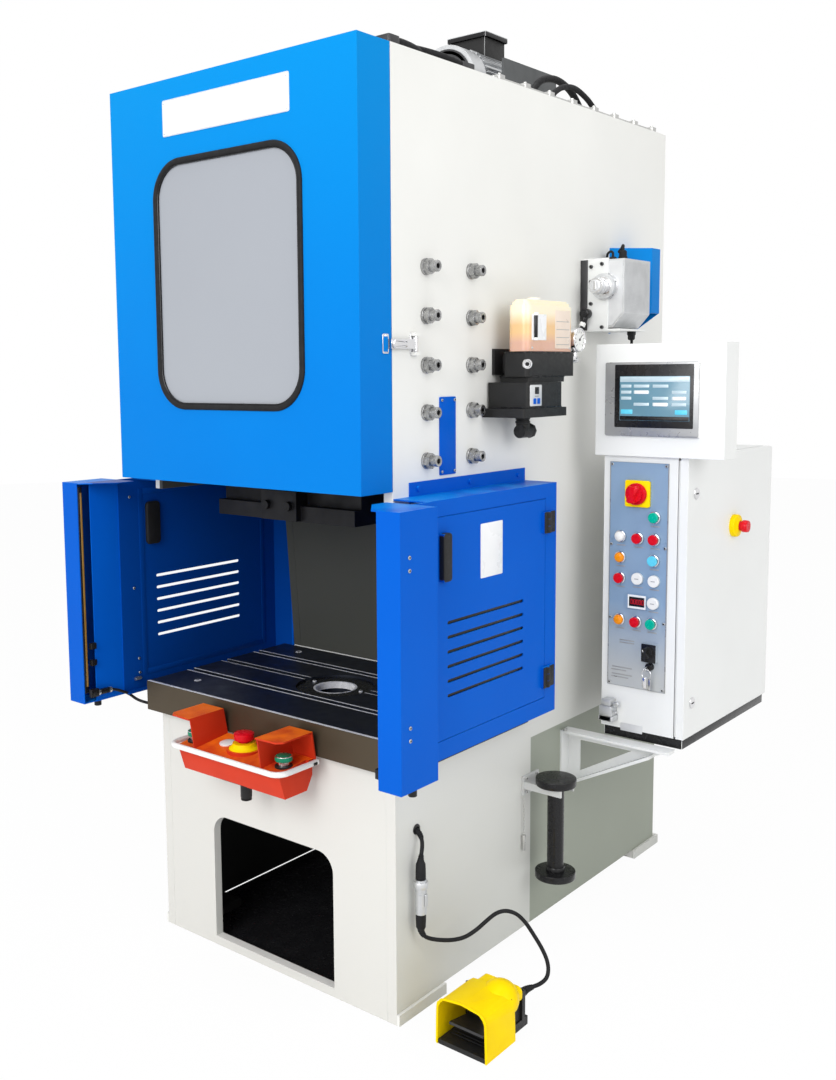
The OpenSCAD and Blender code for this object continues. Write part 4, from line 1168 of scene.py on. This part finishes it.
# %% Door hinges, grips and painted shade behind the slots
HINGE_Z = (741, 1147)
KNUCKLE = [(6.4, 0), (6.8, 0.8), (6.8, 16.6), (6.4, 17.4)]
KNUCKLE_Z = [z + 18.2 * k for z in HINGE_Z for k in range(3)]
for side, name in ((1, "right"), (-1, "left")):
    door, outward = f"guard_door_{name}", (side, 0, 0)
    leaves = [plate((side * 522.8, 496, z + 27), outward, 23.6, 55, 1.6, 3, 0.6) for z in HINGE_Z]
    leaves += [turned(KNUCKLE, (side * 522, 506, z), UP, 20) for z in KNUCKLE_Z]
    piece(door + "_hinges", leaves, black_plastic, door)
    leaves = [plate((side * 520.8, 526, z + 27), outward, 26, 55, 1.6, 3, 0.6) for z in HINGE_Z]
    piece(door + "_fixed_leaves", leaves, black_plastic)
    piece(door + "_grip", [
        plate((side * 515.3, 56, 1142), outward, 34, 112, 15, 9, 3.4),
        plate((side * 512.7, 60, 1142), (-side, 0, 0), 48, 122, 13, 12, 3.4),
    ], black_plastic, door)
# Painted shade: black sheets behind the right door's slots.
backs = [plate((512.2, 235, 814 + 34.5 * k), LEFT, 334, 14, 0.5, 5, 0.1) for k in range(6)]
piece("slot_shade_backs", backs, gloss_black, "guard_door_right")
rims = []
for s in SIDES:
    x = s * 512
    rims += [strip((x, 30, z), (x, 494, z), (-s, 0, 0), 16, 1.2, 0.3) for z in (714, 1234)]
    rims += [strip((x, y, 706), (x, y, 1242), (-s, 0, 0), 16, 1.2, 0.3) for y in (22, 500)]
piece("door_rims", rims, blue_side)
print("front dressed")


# %% [markdown]
# ## Lubricator
# A small pump sends grease to the slide's guides. Its tank is clear amber plastic on
# a black pump body, with a sight tube, two bare plates, a keypad and a round
# pressure gauge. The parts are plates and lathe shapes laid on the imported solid.

# %% Tank
TANK_FACE, TUBE = 520, (524.4, 434)
lid = turned([(17.4, 0), (18, 1), (18, 4.2), (16, 5.6), (4, 5.8)], (490, 480, 1736.2), UP, 32)
piece("tank_lid", [lid], white_plastic)
piece("tank_plate", [plate((TANK_FACE, 455, 1668), RIGHT, 68, 64, 1.2, 2, 0.4)], plate_white)
piece("tank_label", [plate((TANK_FACE, 570, 1664), RIGHT, 76, 96, 0.8, 2, 0.3)], label_pale)
lines = [
    strip((520.8, 538, z), (520.8, 602, z), RIGHT, 1.4, 0.3, 0.1)
    for z in (1684, 1664, 1644, 1626)
]
piece("tank_lines", lines, bezel_grey)
piece("sight_tube", [rod(4.6, 58, (*TUBE, 1640), UP, 1.0, 18)], gloss_black)
piece("sight_ends", [rod(6.6, 7, (*TUBE, z), UP, 1.0, 18) for z in (1635, 1696)], white_plastic)
piece("tank_rivets", rivets([(519.6, y, 1617) for y in (424, 604)], RIGHT, 3.4, 2.0), zinc)

# %% Pump body
CORNER, OFF_CORNER = (518.4, 403.6, 1577), (0.7, -0.7, 0)
PLUG = [(12, -2), (12.6, 1.6), (11.6, 3.0), (8.6, 3.0), (7.8, 1.6), (1, 1.6)]
SEAM = [(-0.6, -1.6), (1.2, -1.0), (1.2, 1.0), (-0.6, 1.6)]
KEYPAD_FACE = 539.3
piece("pump_plug", [turned(PLUG, CORNER, OFF_CORNER, 28)], chrome)
piece("pump_plug_slot", [turned([(5.6, 1.4), (5.6, 2.6)], CORNER, OFF_CORNER, 6)], gloss_black)
seams = []
for z, width, depth, x, y in ((1606, 72.6, 230.6, 486, 515), (1546, 94.6, 168.6, 477, 496),
                              (1470, 120.6, 164.6, 478, 460)):
    flat = rounded_outline(width, depth, 9, 6) + [x, y]
    seams.append(trim(np.column_stack([flat, np.full(len(flat), z)]), UP, SEAM))
piece("pump_seams", seams, gloss_black)
piece("keypad", [plate((538, 412, 1500), RIGHT, 54, 52, 1.4, 3, 0.4)], plate_silver)
piece("keypad_window", [plate((KEYPAD_FACE, 416, 1512), RIGHT, 19, 17, 0.6, 1, 0.2)], gloss_black)
keys = [plate((KEYPAD_FACE, y, 1486), RIGHT, 13, 14, 1.0, 2, 0.4) for y in (406, 424)]
piece("keypad_keys", keys, blue_side)
piece("keypad_mark", [plate((KEYPAD_FACE, 415, 1498), RIGHT, 18, 3, 0.4, 0.5, 0.1)], bezel_grey)
band = [(17.2, 0), (18.8, 0.6), (18.8, 6), (17.2, 7)]
nut = [(17.2, 0), (19, 0.8), (19, 9), (17.4, 10.4), (12, 10.6)]
rings = [turned(band, (470, 462, z), UP, 30) for z in (1428, 1438)]
piece("elbow_rings", rings + [turned(nut, (470, 490, 1408), REAR, 8)], black_plastic)

# %% Pressure gauge
GAUGE, DIAL_X, STEM_Z = (516, 664, 1640), 517.0, 1588
GAUGE_RIM = [(31, -27), (31.6, -24), (31.6, 0.4), (30.4, 2.6), (28.0, 2.8), (27.0, 1.2), (27.0, 0)]


def on_dial(radius, angle):
    """A spot on the gauge's face."""
    return DIAL_X, GAUGE[1] + radius * math.cos(angle), GAUGE[2] + radius * math.sin(angle)


piece("gauge_rim", [turned(GAUGE_RIM, GAUGE, RIGHT, 48)], chrome)
piece("gauge_dial", [turned([(27.4, 0), (27.4, 0.9), (10, 1.0)], GAUGE, RIGHT, 48)], white_plastic)
marks = []
for k in range(11):
    a = math.radians(225 - 27 * k)
    inner, outer = (19, 24) if k % 5 else (17, 24.5)
    marks.append(strip(on_dial(inner, a), on_dial(outer, a), RIGHT, 1.3, 0.3, 0.1))
marks.append(strip((517.2, 660, 1637), (517.2, 677, 1652), RIGHT, 1.8, 0.5, 0.2))
marks.append(rod(3.4, 1.6, (517, 664, 1640), RIGHT, 0.5, 18))
piece("gauge_marks", marks, gloss_black)
piece("gauge_stem", [
    turned([(8, 0), (8, 14)], (500, 664, 1606), DOWN, 6),
    rod(9.5, 20, (500, 664, STEM_Z), UP, 1.5, 18), rod(9.2, 46, (500, 631, STEM_Z), REAR, 1.2, 20),
    turned([(10, 0), (10, 9)], (500, 640, STEM_Z), REAR, 6),
    turned([(11, 0), (11, 10)], (500, 664, 1612), UP, 6),
], chrome)


# %% [markdown]
# ## Rotary cam switch
# A gear housing of cast aluminium holds the cams that tell the control where the
# crank stands. Its side cover is finely ribbed, a chromed flange holds the shaft, and
# a cable leads down to the pump. The ribs are thin bars, repeated down the face.

# %% Ribbed cover and flange
SHAFT_X, SHAFT_Z, COVER_X = 492, 1788, 546.0
FACE_OUTLINE = [(452, 1682), (510, 1682), (541, 1716), (541, 1857), (452, 1857)]
FLANGE = [
    (36, 0), (37, 1.2), (37, 5), (35.6, 7), (31, 7.6), (30, 9), (30, 20), (28.4, 22), (24, 22.6)
]
rib_heights = [1720 + 3.6 * k for k in range(38)]
ribs = [strip((COVER_X, 862, z), (COVER_X, 1000, z), RIGHT, 1.8, 0.9) for z in rib_heights]
piece("cam_cover_ribs", ribs, aluminium)
rows = np.array([[(x, y, z) for x, z in FACE_OUTLINE] for y in (852.6, 850.6)])
piece("cam_face", [surface(rows, loop_columns=True, capped=True)], plate_silver)
piece("cam_flange", [
    turned(FLANGE, (SHAFT_X, 852.4, SHAFT_Z), FRONT, 48),
    turned([(22.5, 0), (22.5, 16), (21, 18), (13, 18)], (SHAFT_X, 830, SHAFT_Z), FRONT, 36),
], chrome)
# Painted shadow: a dark strip on the bracket's front next to the frame wall, where the gap behind
# the bracket lies in shade.
piece("cam_bracket_shadow", [block(416.4, 438, 843.4, 846.2, 1670, 1863, 1, 0.4, REAR)], dark_steel)
ways = [(math.cos(a), math.sin(a)) for a in np.radians([20, 70, 135, 200, 250, 315])]
heads = [rod(2.6, 3.4, (SHAFT_X + 33.4 * x, 845, SHAFT_Z + 33.4 * z), FRONT, 0.6, 14)
         for x, z in ways]
piece("cam_flange_screws", heads, gloss_black)
piece("cam_shaft_rings", [
    turned([(21.6, 0), (22.4, 1), (22.4, 3), (21.6, 4)], (SHAFT_X, 806, SHAFT_Z), FRONT, 36),
    turned([(16, 0), (16, 2.2), (14, 3), (9, 3)], (SHAFT_X, 790.4, SHAFT_Z), FRONT, 32),
], plate_silver, "cam_switch_shaft")

# %% Bracket bolts and the cable
LEAD_WAY = (-0.2, -0.3, -1)
CAM_CABLE = [(435.6, 821, 1682), (431, 812, 1664), (426, 790, 1640), (424, 752, 1618),
             (428, 712, 1604), (446, 682, 1596), (480, 666, 1592)]
spots = [(449, 846, z) for z in (1844, 1803, 1743)] + [(484, 846, 1678), (482, 846, 1850)]
screws("cam_bracket_bolts", spots, FRONT, d=10, h=6, material=dark_steel)
piece("cam_plug", [
    rod(14, 26, (440, 846, 1716), FRONT, 3.0, 24),
    turned([(9, 0), (9, 12), (7, 15)], (440, 828, 1704), LEAD_WAY, 20),
], gloss_black)
nut = turned([(8.4, 0), (8.4, 12)], (437.4, 824, 1692), LEAD_WAY, 6)
piece("cam_plug_nut", [nut], white_plastic)
piece("cam_cable", [hose(CAM_CABLE, 9, 12, 6)], rubber)
piece("cam_sockets", [
    turned([(13, 0), (13, 14), (11, 17), (11, 30), (8, 33)], (484, 962, 1862), UP, 20),
    turned([(11, 0), (11, 12), (8, 15)], (462, 944, 1862), UP, 20),
    hose([(484, 962, 1890), (484, 962, 1900), (481, 968, 1908), (474, 980, 1909), (462, 996, 1904),
          (448, 1008, 1896)], 9, 12, 5),
    hose([(462, 944, 1874), (460, 948, 1888), (448, 958, 1894), (430, 974, 1890),
          (420, 988, 1880)], 7, 10, 5),
], rubber)
piece("cam_gland", [
    turned([(12, 0), (12, 9), (10, 11), (10, 20), (7.5, 24)], (520, 950, 1667), DOWN, 6),
    hose([(520, 950, 1646), (520, 952, 1636), (508, 962, 1618), (478, 990, 1606), (448, 1010, 1600),
          (424, 1016, 1598), (414, 1016, 1598)], 8, 10, 6),
], rubber)


# %% [markdown]
# ## Operator panel
# Coloured push buttons and lamps sit in rings on a grey plate. Each ring is a short
# lathe shape, the lamps are domes, and the buttons get a cap with a dished middle.
# The plate carries no words, only plain raised bars where a real one is engraved.

# %% Rings, lamps and caps
PANEL_Y = 799.0
BUTTONS = {
    "start_motor": (676, 1167, teal_plastic, "green_plastic"),
    "stop_motor": (628, 1107, red_plastic, "red_plastic"),
    "reset": (676, 1107, red_plastic, "red_plastic"),
    "fault": (675, 1050, cyan_plastic, "cyan_plastic"),
    "clutch": (576, 994, red_plastic, "red_plastic"),
    "slide_up": (626, 877, red_plastic, "red_plastic"),
    "slide_down": (672, 877, teal_plastic, "green_plastic"),
}
LAMPS = [(576, 1109, white_plastic), (576, 1051, lamp_orange), (576, 878, lamp_orange)]
PLUGS = [(628, 996), (676, 994), (675, 933)]
RINGED = [(x, z) for x, z, *_ in list(BUTTONS.values()) + LAMPS]
PANEL_RING = [(15.2, 0), (16.2, 0.6), (16.2, 7.8), (15.0, 8.7), (12.8, 8.8), (12.0, 8.2), (11.8, 0)]
CAP = [(13.4, 0), (13.9, 0.8), (13.9, 4.4), (12.8, 5.8), (9.0, 6.2), (3.0, 6.0)]
DOME = [(13.6, 0), (13.6, 10), (13.0, 13), (10.6, 15.6), (6.4, 17.2), (2, 17.6)]
PLUG = [(15.8, 0), (16.2, 0.8), (16.2, 8.8), (14.8, 10.4), (2, 10.6)]


def knob(profile, x, z, out=0.0, sides=32, closed=False):
    """A lathe shape on the panel, or a distance in front of it."""
    return turned(profile, (x, PANEL_Y - out, z), FRONT, sides, closed=closed)


def badge(x, z, out, *sizes, **more):
    """A plate in front of the panel."""
    return plate((x, PANEL_Y - out, z), FRONT, *sizes, **more)


def bar(x0, z0, x1, z1, out, wide, thick):
    """A thin bar in front of the panel."""
    return strip((x0, PANEL_Y - out, z0), (x1, PANEL_Y - out, z1), FRONT, wide, thick, 0.1)


piece("panel_rings", [knob(PANEL_RING, x, z, closed=True) for x, z in RINGED], chrome)
for label, (x, z, colour, packed_slot) in BUTTONS.items():
    piece(label + "_cap", [knob(CAP, x, z, 13.1, 28)], colour, label + "_button")
for number, (x, z, glass) in enumerate(LAMPS):
    piece(f"lamp_{number + 1}", [knob(DOME, x, z, 1)], glass)
piece("panel_plugs", [knob(PLUG, x, z) for x, z in PLUGS], white_plastic)
piece("plug_slots", [bar(x - 6, z, x + 6, z, 10.5, 2.2, 0.4) for x, z in PLUGS], bezel_grey)

# %% Main switch
piece("switch_plate", [badge(625, 1228, 0, 72, 72, 9, 5, 1.4)], yellow_plastic)
grips = [
    knob([(27, 0), (29.6, 1.4), (29.6, 10), (28, 12.4), (20, 13)], 625, 1228, 9.4, 44),
    badge(625, 1228, 20, 16, 52, 22, 7, 5, up=(0.5, 0, 0.86)),
]
piece("main_switch_grip", grips, red_plastic, "main_switch_knob")

# %% Counter, selector and key
DIGITS_OUT = 6.1
COUNTER_RIM = [(-4, -1), (-4, 6), (-2, 7), (1, 7), (2, 6), (2, -1)]


def panel_loop(x0, x1, z0, z1, out):
    """The corners of an upright rectangle in front of the panel."""
    return [(x, PANEL_Y - out, z) for x, z in ((x0, z0), (x1, z0), (x1, z1), (x0, z1))]


piece("counter_frame", [
    trim(panel_loop(603, 653, 915, 949, 1), FRONT, COUNTER_RIM),
    block(601, 655, PANEL_Y - 5.5, PANEL_Y, 913, 951, 2, 1.0),
], plate_white)
piece("counter_window", [badge(628, 932, 5.2, 46, 26, 1.0, 1.5, 0.4)], gloss_black)
digits = []
for x in range(611, 651, 8):
    digits += [bar(side, 926, side, 938, DIGITS_OUT, 1.5, 0.3) for side in (x, x + 5)]
    digits += [bar(x, z, x + 5, z, DIGITS_OUT, 1.5, 0.3) for z in (926, 938)]
piece("counter_digits", digits, red_plastic)
piece("selector_plate", [badge(669, 797, 13.8, 42, 50, 1.4, 2, 0.4)], gloss_black)
piece("selector_grip", [
    knob([(15, 0), (15.4, 1), (15.4, 7), (14, 8.6), (4, 9)], 669, 800, 15.4),
    badge(669, 800, 24, 9, 30, 13, 3, 2, up=(-0.6, 0, 0.8)),
], black_plastic, "mode_selector_knob")
mark = bar(666.6, 803.2, 661.8, 809.6, 37.0, 2.2, 0.5)
piece("selector_mark", [mark], white_plastic, "mode_selector_knob")
piece("key_barrel", [knob([(11, 0), (11, 12), (9.6, 14), (5, 14.4)], 669, 758, 0, 28)], gloss_black)
angles = np.linspace(0, 2 * math.pi, 24, endpoint=False)
key_ring = [(669 + 13 * math.cos(a), PANEL_Y - 25, 742 + 13 * math.sin(a)) for a in angles]
piece("keys", [
    plate((669, PANEL_Y - 30, 757), RIGHT, 28, 13, 2.2, 5, 0.6),
    trim(key_ring, FRONT, [(-1, 0), (0, 1), (1, 0), (0, -1)]),
    plate((664, PANEL_Y - 22, 716), (0.2, -1, 0), 15, 30, 2, 6, 0.6),
    plate((676, PANEL_Y - 25, 714), (-0.3, -1, 0), 14, 32, 2, 6, 0.6),
], chrome)

# %% Bars in place of engraving, screws and frame of the plate
bars = [(x, z - 25, 26) for x, z in RINGED] + [(x, z - 24, 28) for x, z in PLUGS]
bars += [
    (598, 820, 44), (598, 813, 44), (584, 742, 60), (574, 734, 46), (584, 722, 62), (578, 714, 52)
]
piece("panel_bars", [bar(x - w / 2, z, x + w / 2, z, 0, 3.2, 0.4) for x, z, w in bars], bezel_grey)
spots = [(x, PANEL_Y, z) for x in (547, 705) for z in (697, 880, 1085, 1305)]
screws("panel_screws", spots, FRONT, d=8, h=3)
edge = trim(
    panel_loop(541, 711, 690, 1312, -1), FRONT, [(-1.4, 0), (-1.4, 1.8), (1.0, 1.8), (1.0, 0)]
)
piece("panel_edge", [edge], bezel_grey)

# %% Connector hood and its plate
piece("connector_hood", [
    block(532, 571, 766, 802, 604, 634, 5, 2.0, FRONT),
    block(530, 574, 768, 802, 590, 606, 3, 1.5, FRONT),
    block(536, 566, 770, 800, 634, 652, 4, 1.5, FRONT),
    turned([(9, 0), (9, 9), (7, 12)], (578, 786, 640), FRONT, 6),
    rod(3, 14, (577, 786, 618), FRONT, 1, 12),
], aluminium)
piece("small_plate", [plate((614, 801.6, 574), FRONT, 66, 22, 1.0, 2, 0.3)], plate_silver)


# %% [markdown]
# ## Display
# The display head carries a wide screen in a grey bezel. The screen shows plain
# bars and boxes without any lettering: a pale header, value boxes and two keys.

# %% Screen
SCREEN_Y, SCREEN_X, DRAWN_OUT = 779.0, 676, 3.2
COLUMNS = ((596, 30), (640, 44), (694, 44), (746, 40))
BOXES = ((640, 1501, 40), (746, 1485, 36), (694, 1469, 40))


def shown(x, z, width, height, thick=0.4, corner=1):
    """A flat shape drawn on the screen."""
    return plate((x, SCREEN_Y - DRAWN_OUT, z), FRONT, width, height, thick, corner, 0.2)


fields = [shown(x, 1517 - 16 * row, width, 8)
          for k, (x, width) in enumerate(COLUMNS) for row in range(4) if (k + row) % 4 != 3]
bezel = plate((666, SCREEN_Y + 0.2, 1482), FRONT, 267, 197, 2.0, 6, 0.9)
glass = plate((673.5, SCREEN_Y - 1.7, 1490.5), FRONT, 223, 167, 1.2, 3, 0.4)
field = plate((SCREEN_X, SCREEN_Y - 2.8, 1484.5), FRONT, 198, 117, 0.5, 1, 0.2)
piece("display_bezel", [bezel], bezel_grey)
piece("display_glass", [glass], gloss_black)
piece("screen_field", [field], screen_back)
piece("screen_header", [shown(SCREEN_X, 1535, 196, 14)], screen_pale)
piece("screen_fields", fields, screen_pale)
piece("screen_boxes", [shown(x, z, width, 9, 0.5) for x, z, width in BOXES], plate_white)
piece("screen_keys", [shown(x, 1449, 34, 12, 0.6, 2) for x in (598, 752)], cyan_plastic)
piece("screen_foot", [shown(SCREEN_X, 1432, 196, 11)], gloss_black)


# %% [markdown]
# ## Cabinet
# The cabinet's door has an emergency stop and two quarter-turn locks. A grey strip
# shows in the gap beside the door, and a black block below stands for a rubber strip
# and the painted shadow under the cabinet.

# %% Door stop and locks
DOOR_X, LOCK_Y, DOOR_STOP = 765.0, 852, (1108, 1119)
DOOR_STOP_BASE = [(31.4, 0), (31.8, 1), (31.8, 12), (30.6, 14.6), (24, 16.4), (19, 18.6),
                  (17, 20.4), (14.2, 20.6), (14.2, 0)]
DOOR_STOP_HEAD = [(13.4, 0), (13.4, 19.6), (16.4, 20.2), (17.2, 21.4), (17.2, 31), (16, 34.4),
                  (10, 36.0), (3, 36.3)]
LOCK_RIM = [(12, 0), (15.4, 0.4), (15.8, 1.4), (14.6, 2.6), (11.4, 2.8), (10.6, 1.6)]
LOCK_CORE = [(8.6, 0), (8.6, 2.4), (8, 3), (2, 3)]
base = turned(DOOR_STOP_BASE, (DOOR_X, *DOOR_STOP), RIGHT, 40, closed=True)
piece("door_stop_base", [base], yellow_plastic, "cabinet_door")
head = turned(DOOR_STOP_HEAD, (DOOR_X + 7.6, *DOOR_STOP), RIGHT, 44)
piece("door_stop_mushroom", [head], red_plastic, "door_stop_button")
for z, label in ((1232, "upper"), (662, "lower")):
    rim = turned(LOCK_RIM, (DOOR_X, LOCK_Y, z), RIGHT, 32)
    piece(f"lock_{label}_rim", [rim], chrome, "cabinet_door")
    piece(f"lock_{label}_core", [
        turned(LOCK_CORE, (DOOR_X - 0.6, LOCK_Y, z), RIGHT, 24),
        strip((DOOR_X + 2.2, LOCK_Y, z - 5), (DOOR_X + 2.2, LOCK_Y, z + 5), RIGHT, 3.0, 1.0),
    ], gloss_black, "door_lock_" + label)
piece("door_seal", [strip((741, 803.2, 575), (741, 803.2, 1322), FRONT, 4.4, 1.6)], grey_paint)
# Black block under the cabinet: partly a rubber strip, partly a painted shadow.
piece("cabinet_rubber_and_shadow", [block(526.6, 759.4, 809.6, 1381.4, 540.6, 569.0, 3, 0.8)], gloss_black)
piece("bracket_bolts", socket_screw((430, 760, 541), UP, 12, 7), zinc)


# %% [markdown]
# ## Safety block and foot switch
# The safety block is a black tube between two discs, kept in a fork on the side
# plate and tied by a thin chain. The foot switch has a yellow hood over a dark
# treadle with raised ribs, so that a shoe doesn't slip.

# %% Block rims and its chain
BLOCK_X, BLOCK_Y, CHAIN_X, CHAIN_Y = 500, 592, 425.2, 551
LINK_LONG, LINK_WIDE, WIRE, PITCH = 11.0, 6.0, 1.5, 8.2
BLOCK_RIM = [(54.3, 0), (54.9, 1.4), (54.9, 16.6), (54.3, 18), (51, 18.4)]
BLOCK_COLLAR = [(24, 0), (25.6, 1), (25.6, 9), (24, 12), (22.6, 12)]


def on_block(profile, z, direction, sides):
    """A lathe shape round the safety block's axis."""
    return turned(profile, (BLOCK_X, BLOCK_Y, z), direction, sides)


def chain_link(spot, along, spin):
    """A link is a small stadium loop with a round section. Neighbours are turned a
    quarter about the chain's direction."""
    along = np.array(along, float) / np.linalg.norm(along)
    across, upward, _ = three_directions(along, RIGHT)
    flat = math.cos(spin) * across + math.sin(spin) * upward
    t = np.linspace(0, 2 * math.pi, 16, endpoint=False)
    run, half = (LINK_LONG - LINK_WIDE) / 2, (LINK_WIDE - WIRE) / 2
    high = half * np.sin(t) + np.sign(np.sin(t)) * run
    line = (half * np.cos(t))[:, None] * flat + high[:, None] * along + np.array(spot, float)
    a = np.linspace(0, 2 * math.pi, 6, endpoint=False)
    wire = np.stack([WIRE / 2 * np.cos(a), WIRE / 2 * np.sin(a)], 1)
    return trim(line, np.cross(flat, along), wire)


piece("block_rims", [on_block(BLOCK_RIM, z, UP, 56) for z in (188.8, 448.8)], gloss_black)
collars = [on_block(BLOCK_COLLAR, z, way, 40) for z, way in ((207, UP), (447, DOWN))]
piece("block_collars", collars, gloss_black)
CHAIN_WAY = [
    (424, 552, 405), (425, 551.6, 380), (425.4, 551.2, 350), (425.4, 551, 320), (425.2, 551, 300)
]
hang = smooth_path(CHAIN_WAY, 14)
spots = at_distance(hang, np.arange(4, walked(hang)[-1] - 3, PITCH))
ways = np.gradient(spots, axis=0)
links = [
    chain_link(spot, way, (k % 2) * math.pi / 2) for k, (spot, way) in enumerate(zip(spots, ways))
]
piece("block_chain", links, zinc)
piece("block_pin", [
    rod(4.5, 44, (CHAIN_X, CHAIN_Y, 256), UP, 1.2, 18),
    rod(6.2, 5, (CHAIN_X, CHAIN_Y, 294), UP, 1.0, 18),
], zinc)
screws("holder_screws", [(422, y, z) for z in (455, 416) for y in (566, 618)], RIGHT, d=9, h=4)

# %% Foot switch
HOOD_ARCH = [
    (530.4, 5.4, 3), (532.6, 5.4, 91), (538.6, 5.4, 105), (550, 5.4, 114), (600, 5.4, 120),
    (650, 5.4, 114), (661.4, 5.4, 105), (667.2, 5.4, 91), (669.6, 5.4, 3),
]
RIBS, RIB_STEP, RIB_RISE = 8, 9, 1.6
ribs = []
for k in range(RIBS):
    y, z = 30 + RIB_STEP * k, 23.0 + RIB_RISE * k
    ribs.append(strip((556, y, z), (644, y, z), (0, -0.17, 1), 3.0, 1.6))
piece("hood_rims", [hose(HOOD_ARCH, 5.2, 10, 5)], yellow_plastic)
piece("hood_back", [block(534.6, 665.4, 116.6, 119.6, 12.4, 108, 4, 0.6, REAR)], gloss_black)
piece("switch_arm", [block(606, 618, 84, 116, 44, 96, 2, 0.8, REAR)], zinc)
piece("treadle_ribs", ribs, rubber, "foot_pedal")
gland = turned([(10.8, 0), (10.8, 5.4), (9.4, 7), (9.4, 9.4)], (646, 190.2, 82), REAR, 8)
piece("switch_gland", [gland], gloss_black)

# %% Coupling of the cord
COUPLING_COLLAR = [(13.8, 0), (17.2, 0.2), (17.8, 1.2), (17.8, 14.8), (17.2, 15.8), (13.8, 16)]
BAND = [(13.6, 0), (14.7, 0.6), (14.7, 2.2), (13.6, 2.8)]


def on_coupling(profile, z, direction=UP, sides=28, closed=True):
    """A lathe shape round the coupling's axis."""
    return turned(profile, (COUPLING_X, COUPLING_Y, z), direction, sides, closed=closed)


def boot(stretch):
    """Profile of a rubber boot that narrows to the cord."""
    return [(11.2, 0), (12.6, 0.6), (12.6, 14 + stretch / 2), (11.9, 33.4 + stretch),
            (9.5, 38 + stretch), (7.0, 46 + stretch)]


rings = [on_coupling(COUPLING_COLLAR, 334)]
rings += [on_coupling(BAND, z) for z in (276, 282, 288, 318, 324)]
lever = plate((COUPLING_X + 14, COUPLING_Y, 306), RIGHT, 9, 30, 4, 2, 1.0)
piece("coupling_rings", rings + [lever], aluminium)
piece("coupling_boots", [
    on_coupling(boot(4), 355.2, UP, 24, False), on_coupling(boot(0), 268.8, DOWN, 24, False),
], rubber)
OUTLET = [(7.4, -1.6), (12.6, -0.2), (13.2, 1.4), (12.0, 2.8), (7.4, 3.0)]
piece("outlet_plate", [turned(OUTLET, (SIDE_X, 80, 466), RIGHT, 32, closed=True)], gloss_black)


# %% [markdown]
# ## Floor and light
# A plain pale floor and a white surround, as in a studio. The surround lights the
# press evenly, and three wide lamps give the front, the right side and the top
# their shape. The camera, mirrors and glass see the surround as white, but its
# light on the press is set by itself.

# %% Floor and surround
SURROUND_LIGHT = 0.62  # strength that lights the press; 1 would make its pale paint clip
FLOOR_WHITE = 0.96  # how far the floor is lifted to white, so that it keeps a shadow
FLOOR_RADIUS, FLOOR_SIDES, FLOOR_Z = 14, 64, -0.0005  # metres


def seen_share(tree):
    """1 for rays from the camera, a mirror or glass, else 0."""
    path = add(tree, "LightPath", {})
    straight = maths(tree, "MAXIMUM", path["Is Camera Ray"], path["Is Glossy Ray"])
    return maths(tree, "MAXIMUM", straight, path["Is Transmission Ray"])


def choose(tree, share, first, second, end):
    """Sends one of two shaders, or a mix of them, to the material's or world's end."""
    mixed = add(tree, "MixShader", {"Fac": share, 1: first, 2: second})["Shader"]
    feed(tree, tree.nodes[end].inputs["Surface"], mixed)


world = bpy.data.worlds.new("surround")
bpy.context.scene.world = world
world.use_nodes = True
tree = world.node_tree
lighting = tree.nodes["Background"]
lighting.inputs["Color"].default_value = WHITE
lighting.inputs["Strength"].default_value = SURROUND_LIGHT
seen = add(tree, "Background", {"Color": WHITE, "Strength": 1.0})["Background"]
choose(tree, seen_share(tree), lighting.outputs["Background"], seen, "World Output")

floor_paint = bpy.data.materials.new("floor")
floor_paint.use_nodes = True
tree = floor_paint.node_tree
shader = tree.nodes["Principled BSDF"]
shader.inputs["Roughness"].default_value = 0.8
mottled = place(
    tree, "mottle", Base=(0.86, 0.86, 0.86), Shade=(0.84, 0.84, 0.84), Scale=1.0, Amount=0.5
)
feed(tree, shader.inputs["Base Color"], mottled)
glow = add(tree, "Emission", {"Strength": 1.0})["Emission"]
lifted = maths(tree, "MULTIPLY", seen_share(tree), FLOOR_WHITE)
choose(tree, lifted, shader.outputs["BSDF"], glow, "Material Output")

ring = np.linspace(0, 2 * math.pi, FLOOR_SIDES, endpoint=False)
x, y = FLOOR_RADIUS * np.cos(ring), FLOOR_RADIUS * np.sin(ring)
rim = np.stack([x, y, np.full(FLOOR_SIDES, FLOOR_Z)], 1)
disc = bpy.data.meshes.new("floor")
disc.from_pydata(rim.tolist(), [], [list(range(FLOOR_SIDES))])
disc.materials.append(floor_paint)
in_scene("floor", disc)


# %% Lamps
def lamp(name, origin, target, size, watts):
    """A square area lamp that looks from its place at a target, in metres."""
    light = in_scene(name, bpy.data.lights.new(name, "AREA"))
    light.data.size, light.data.energy = size, watts
    set_axes(light, *three_directions(np.array(origin, float) - np.array(target, float)), origin)


lamp("front_lamp", (0.9, -5.4, 3.3), (0.2, -0.5, 1.2), 3.0, 190)
lamp("side_lamp", (5.0, -1.2, 3.2), (0.4, 0.1, 1.2), 3.0, 85)
lamp("top_lamp", (0.3, -0.6, 5.2), (0, 0, 1.0), 2.5, 60)
bpy.context.scene.view_settings.view_transform = "Standard"
print("stage set")


# %% Bring the scene up to date
bpy.context.view_layer.update()
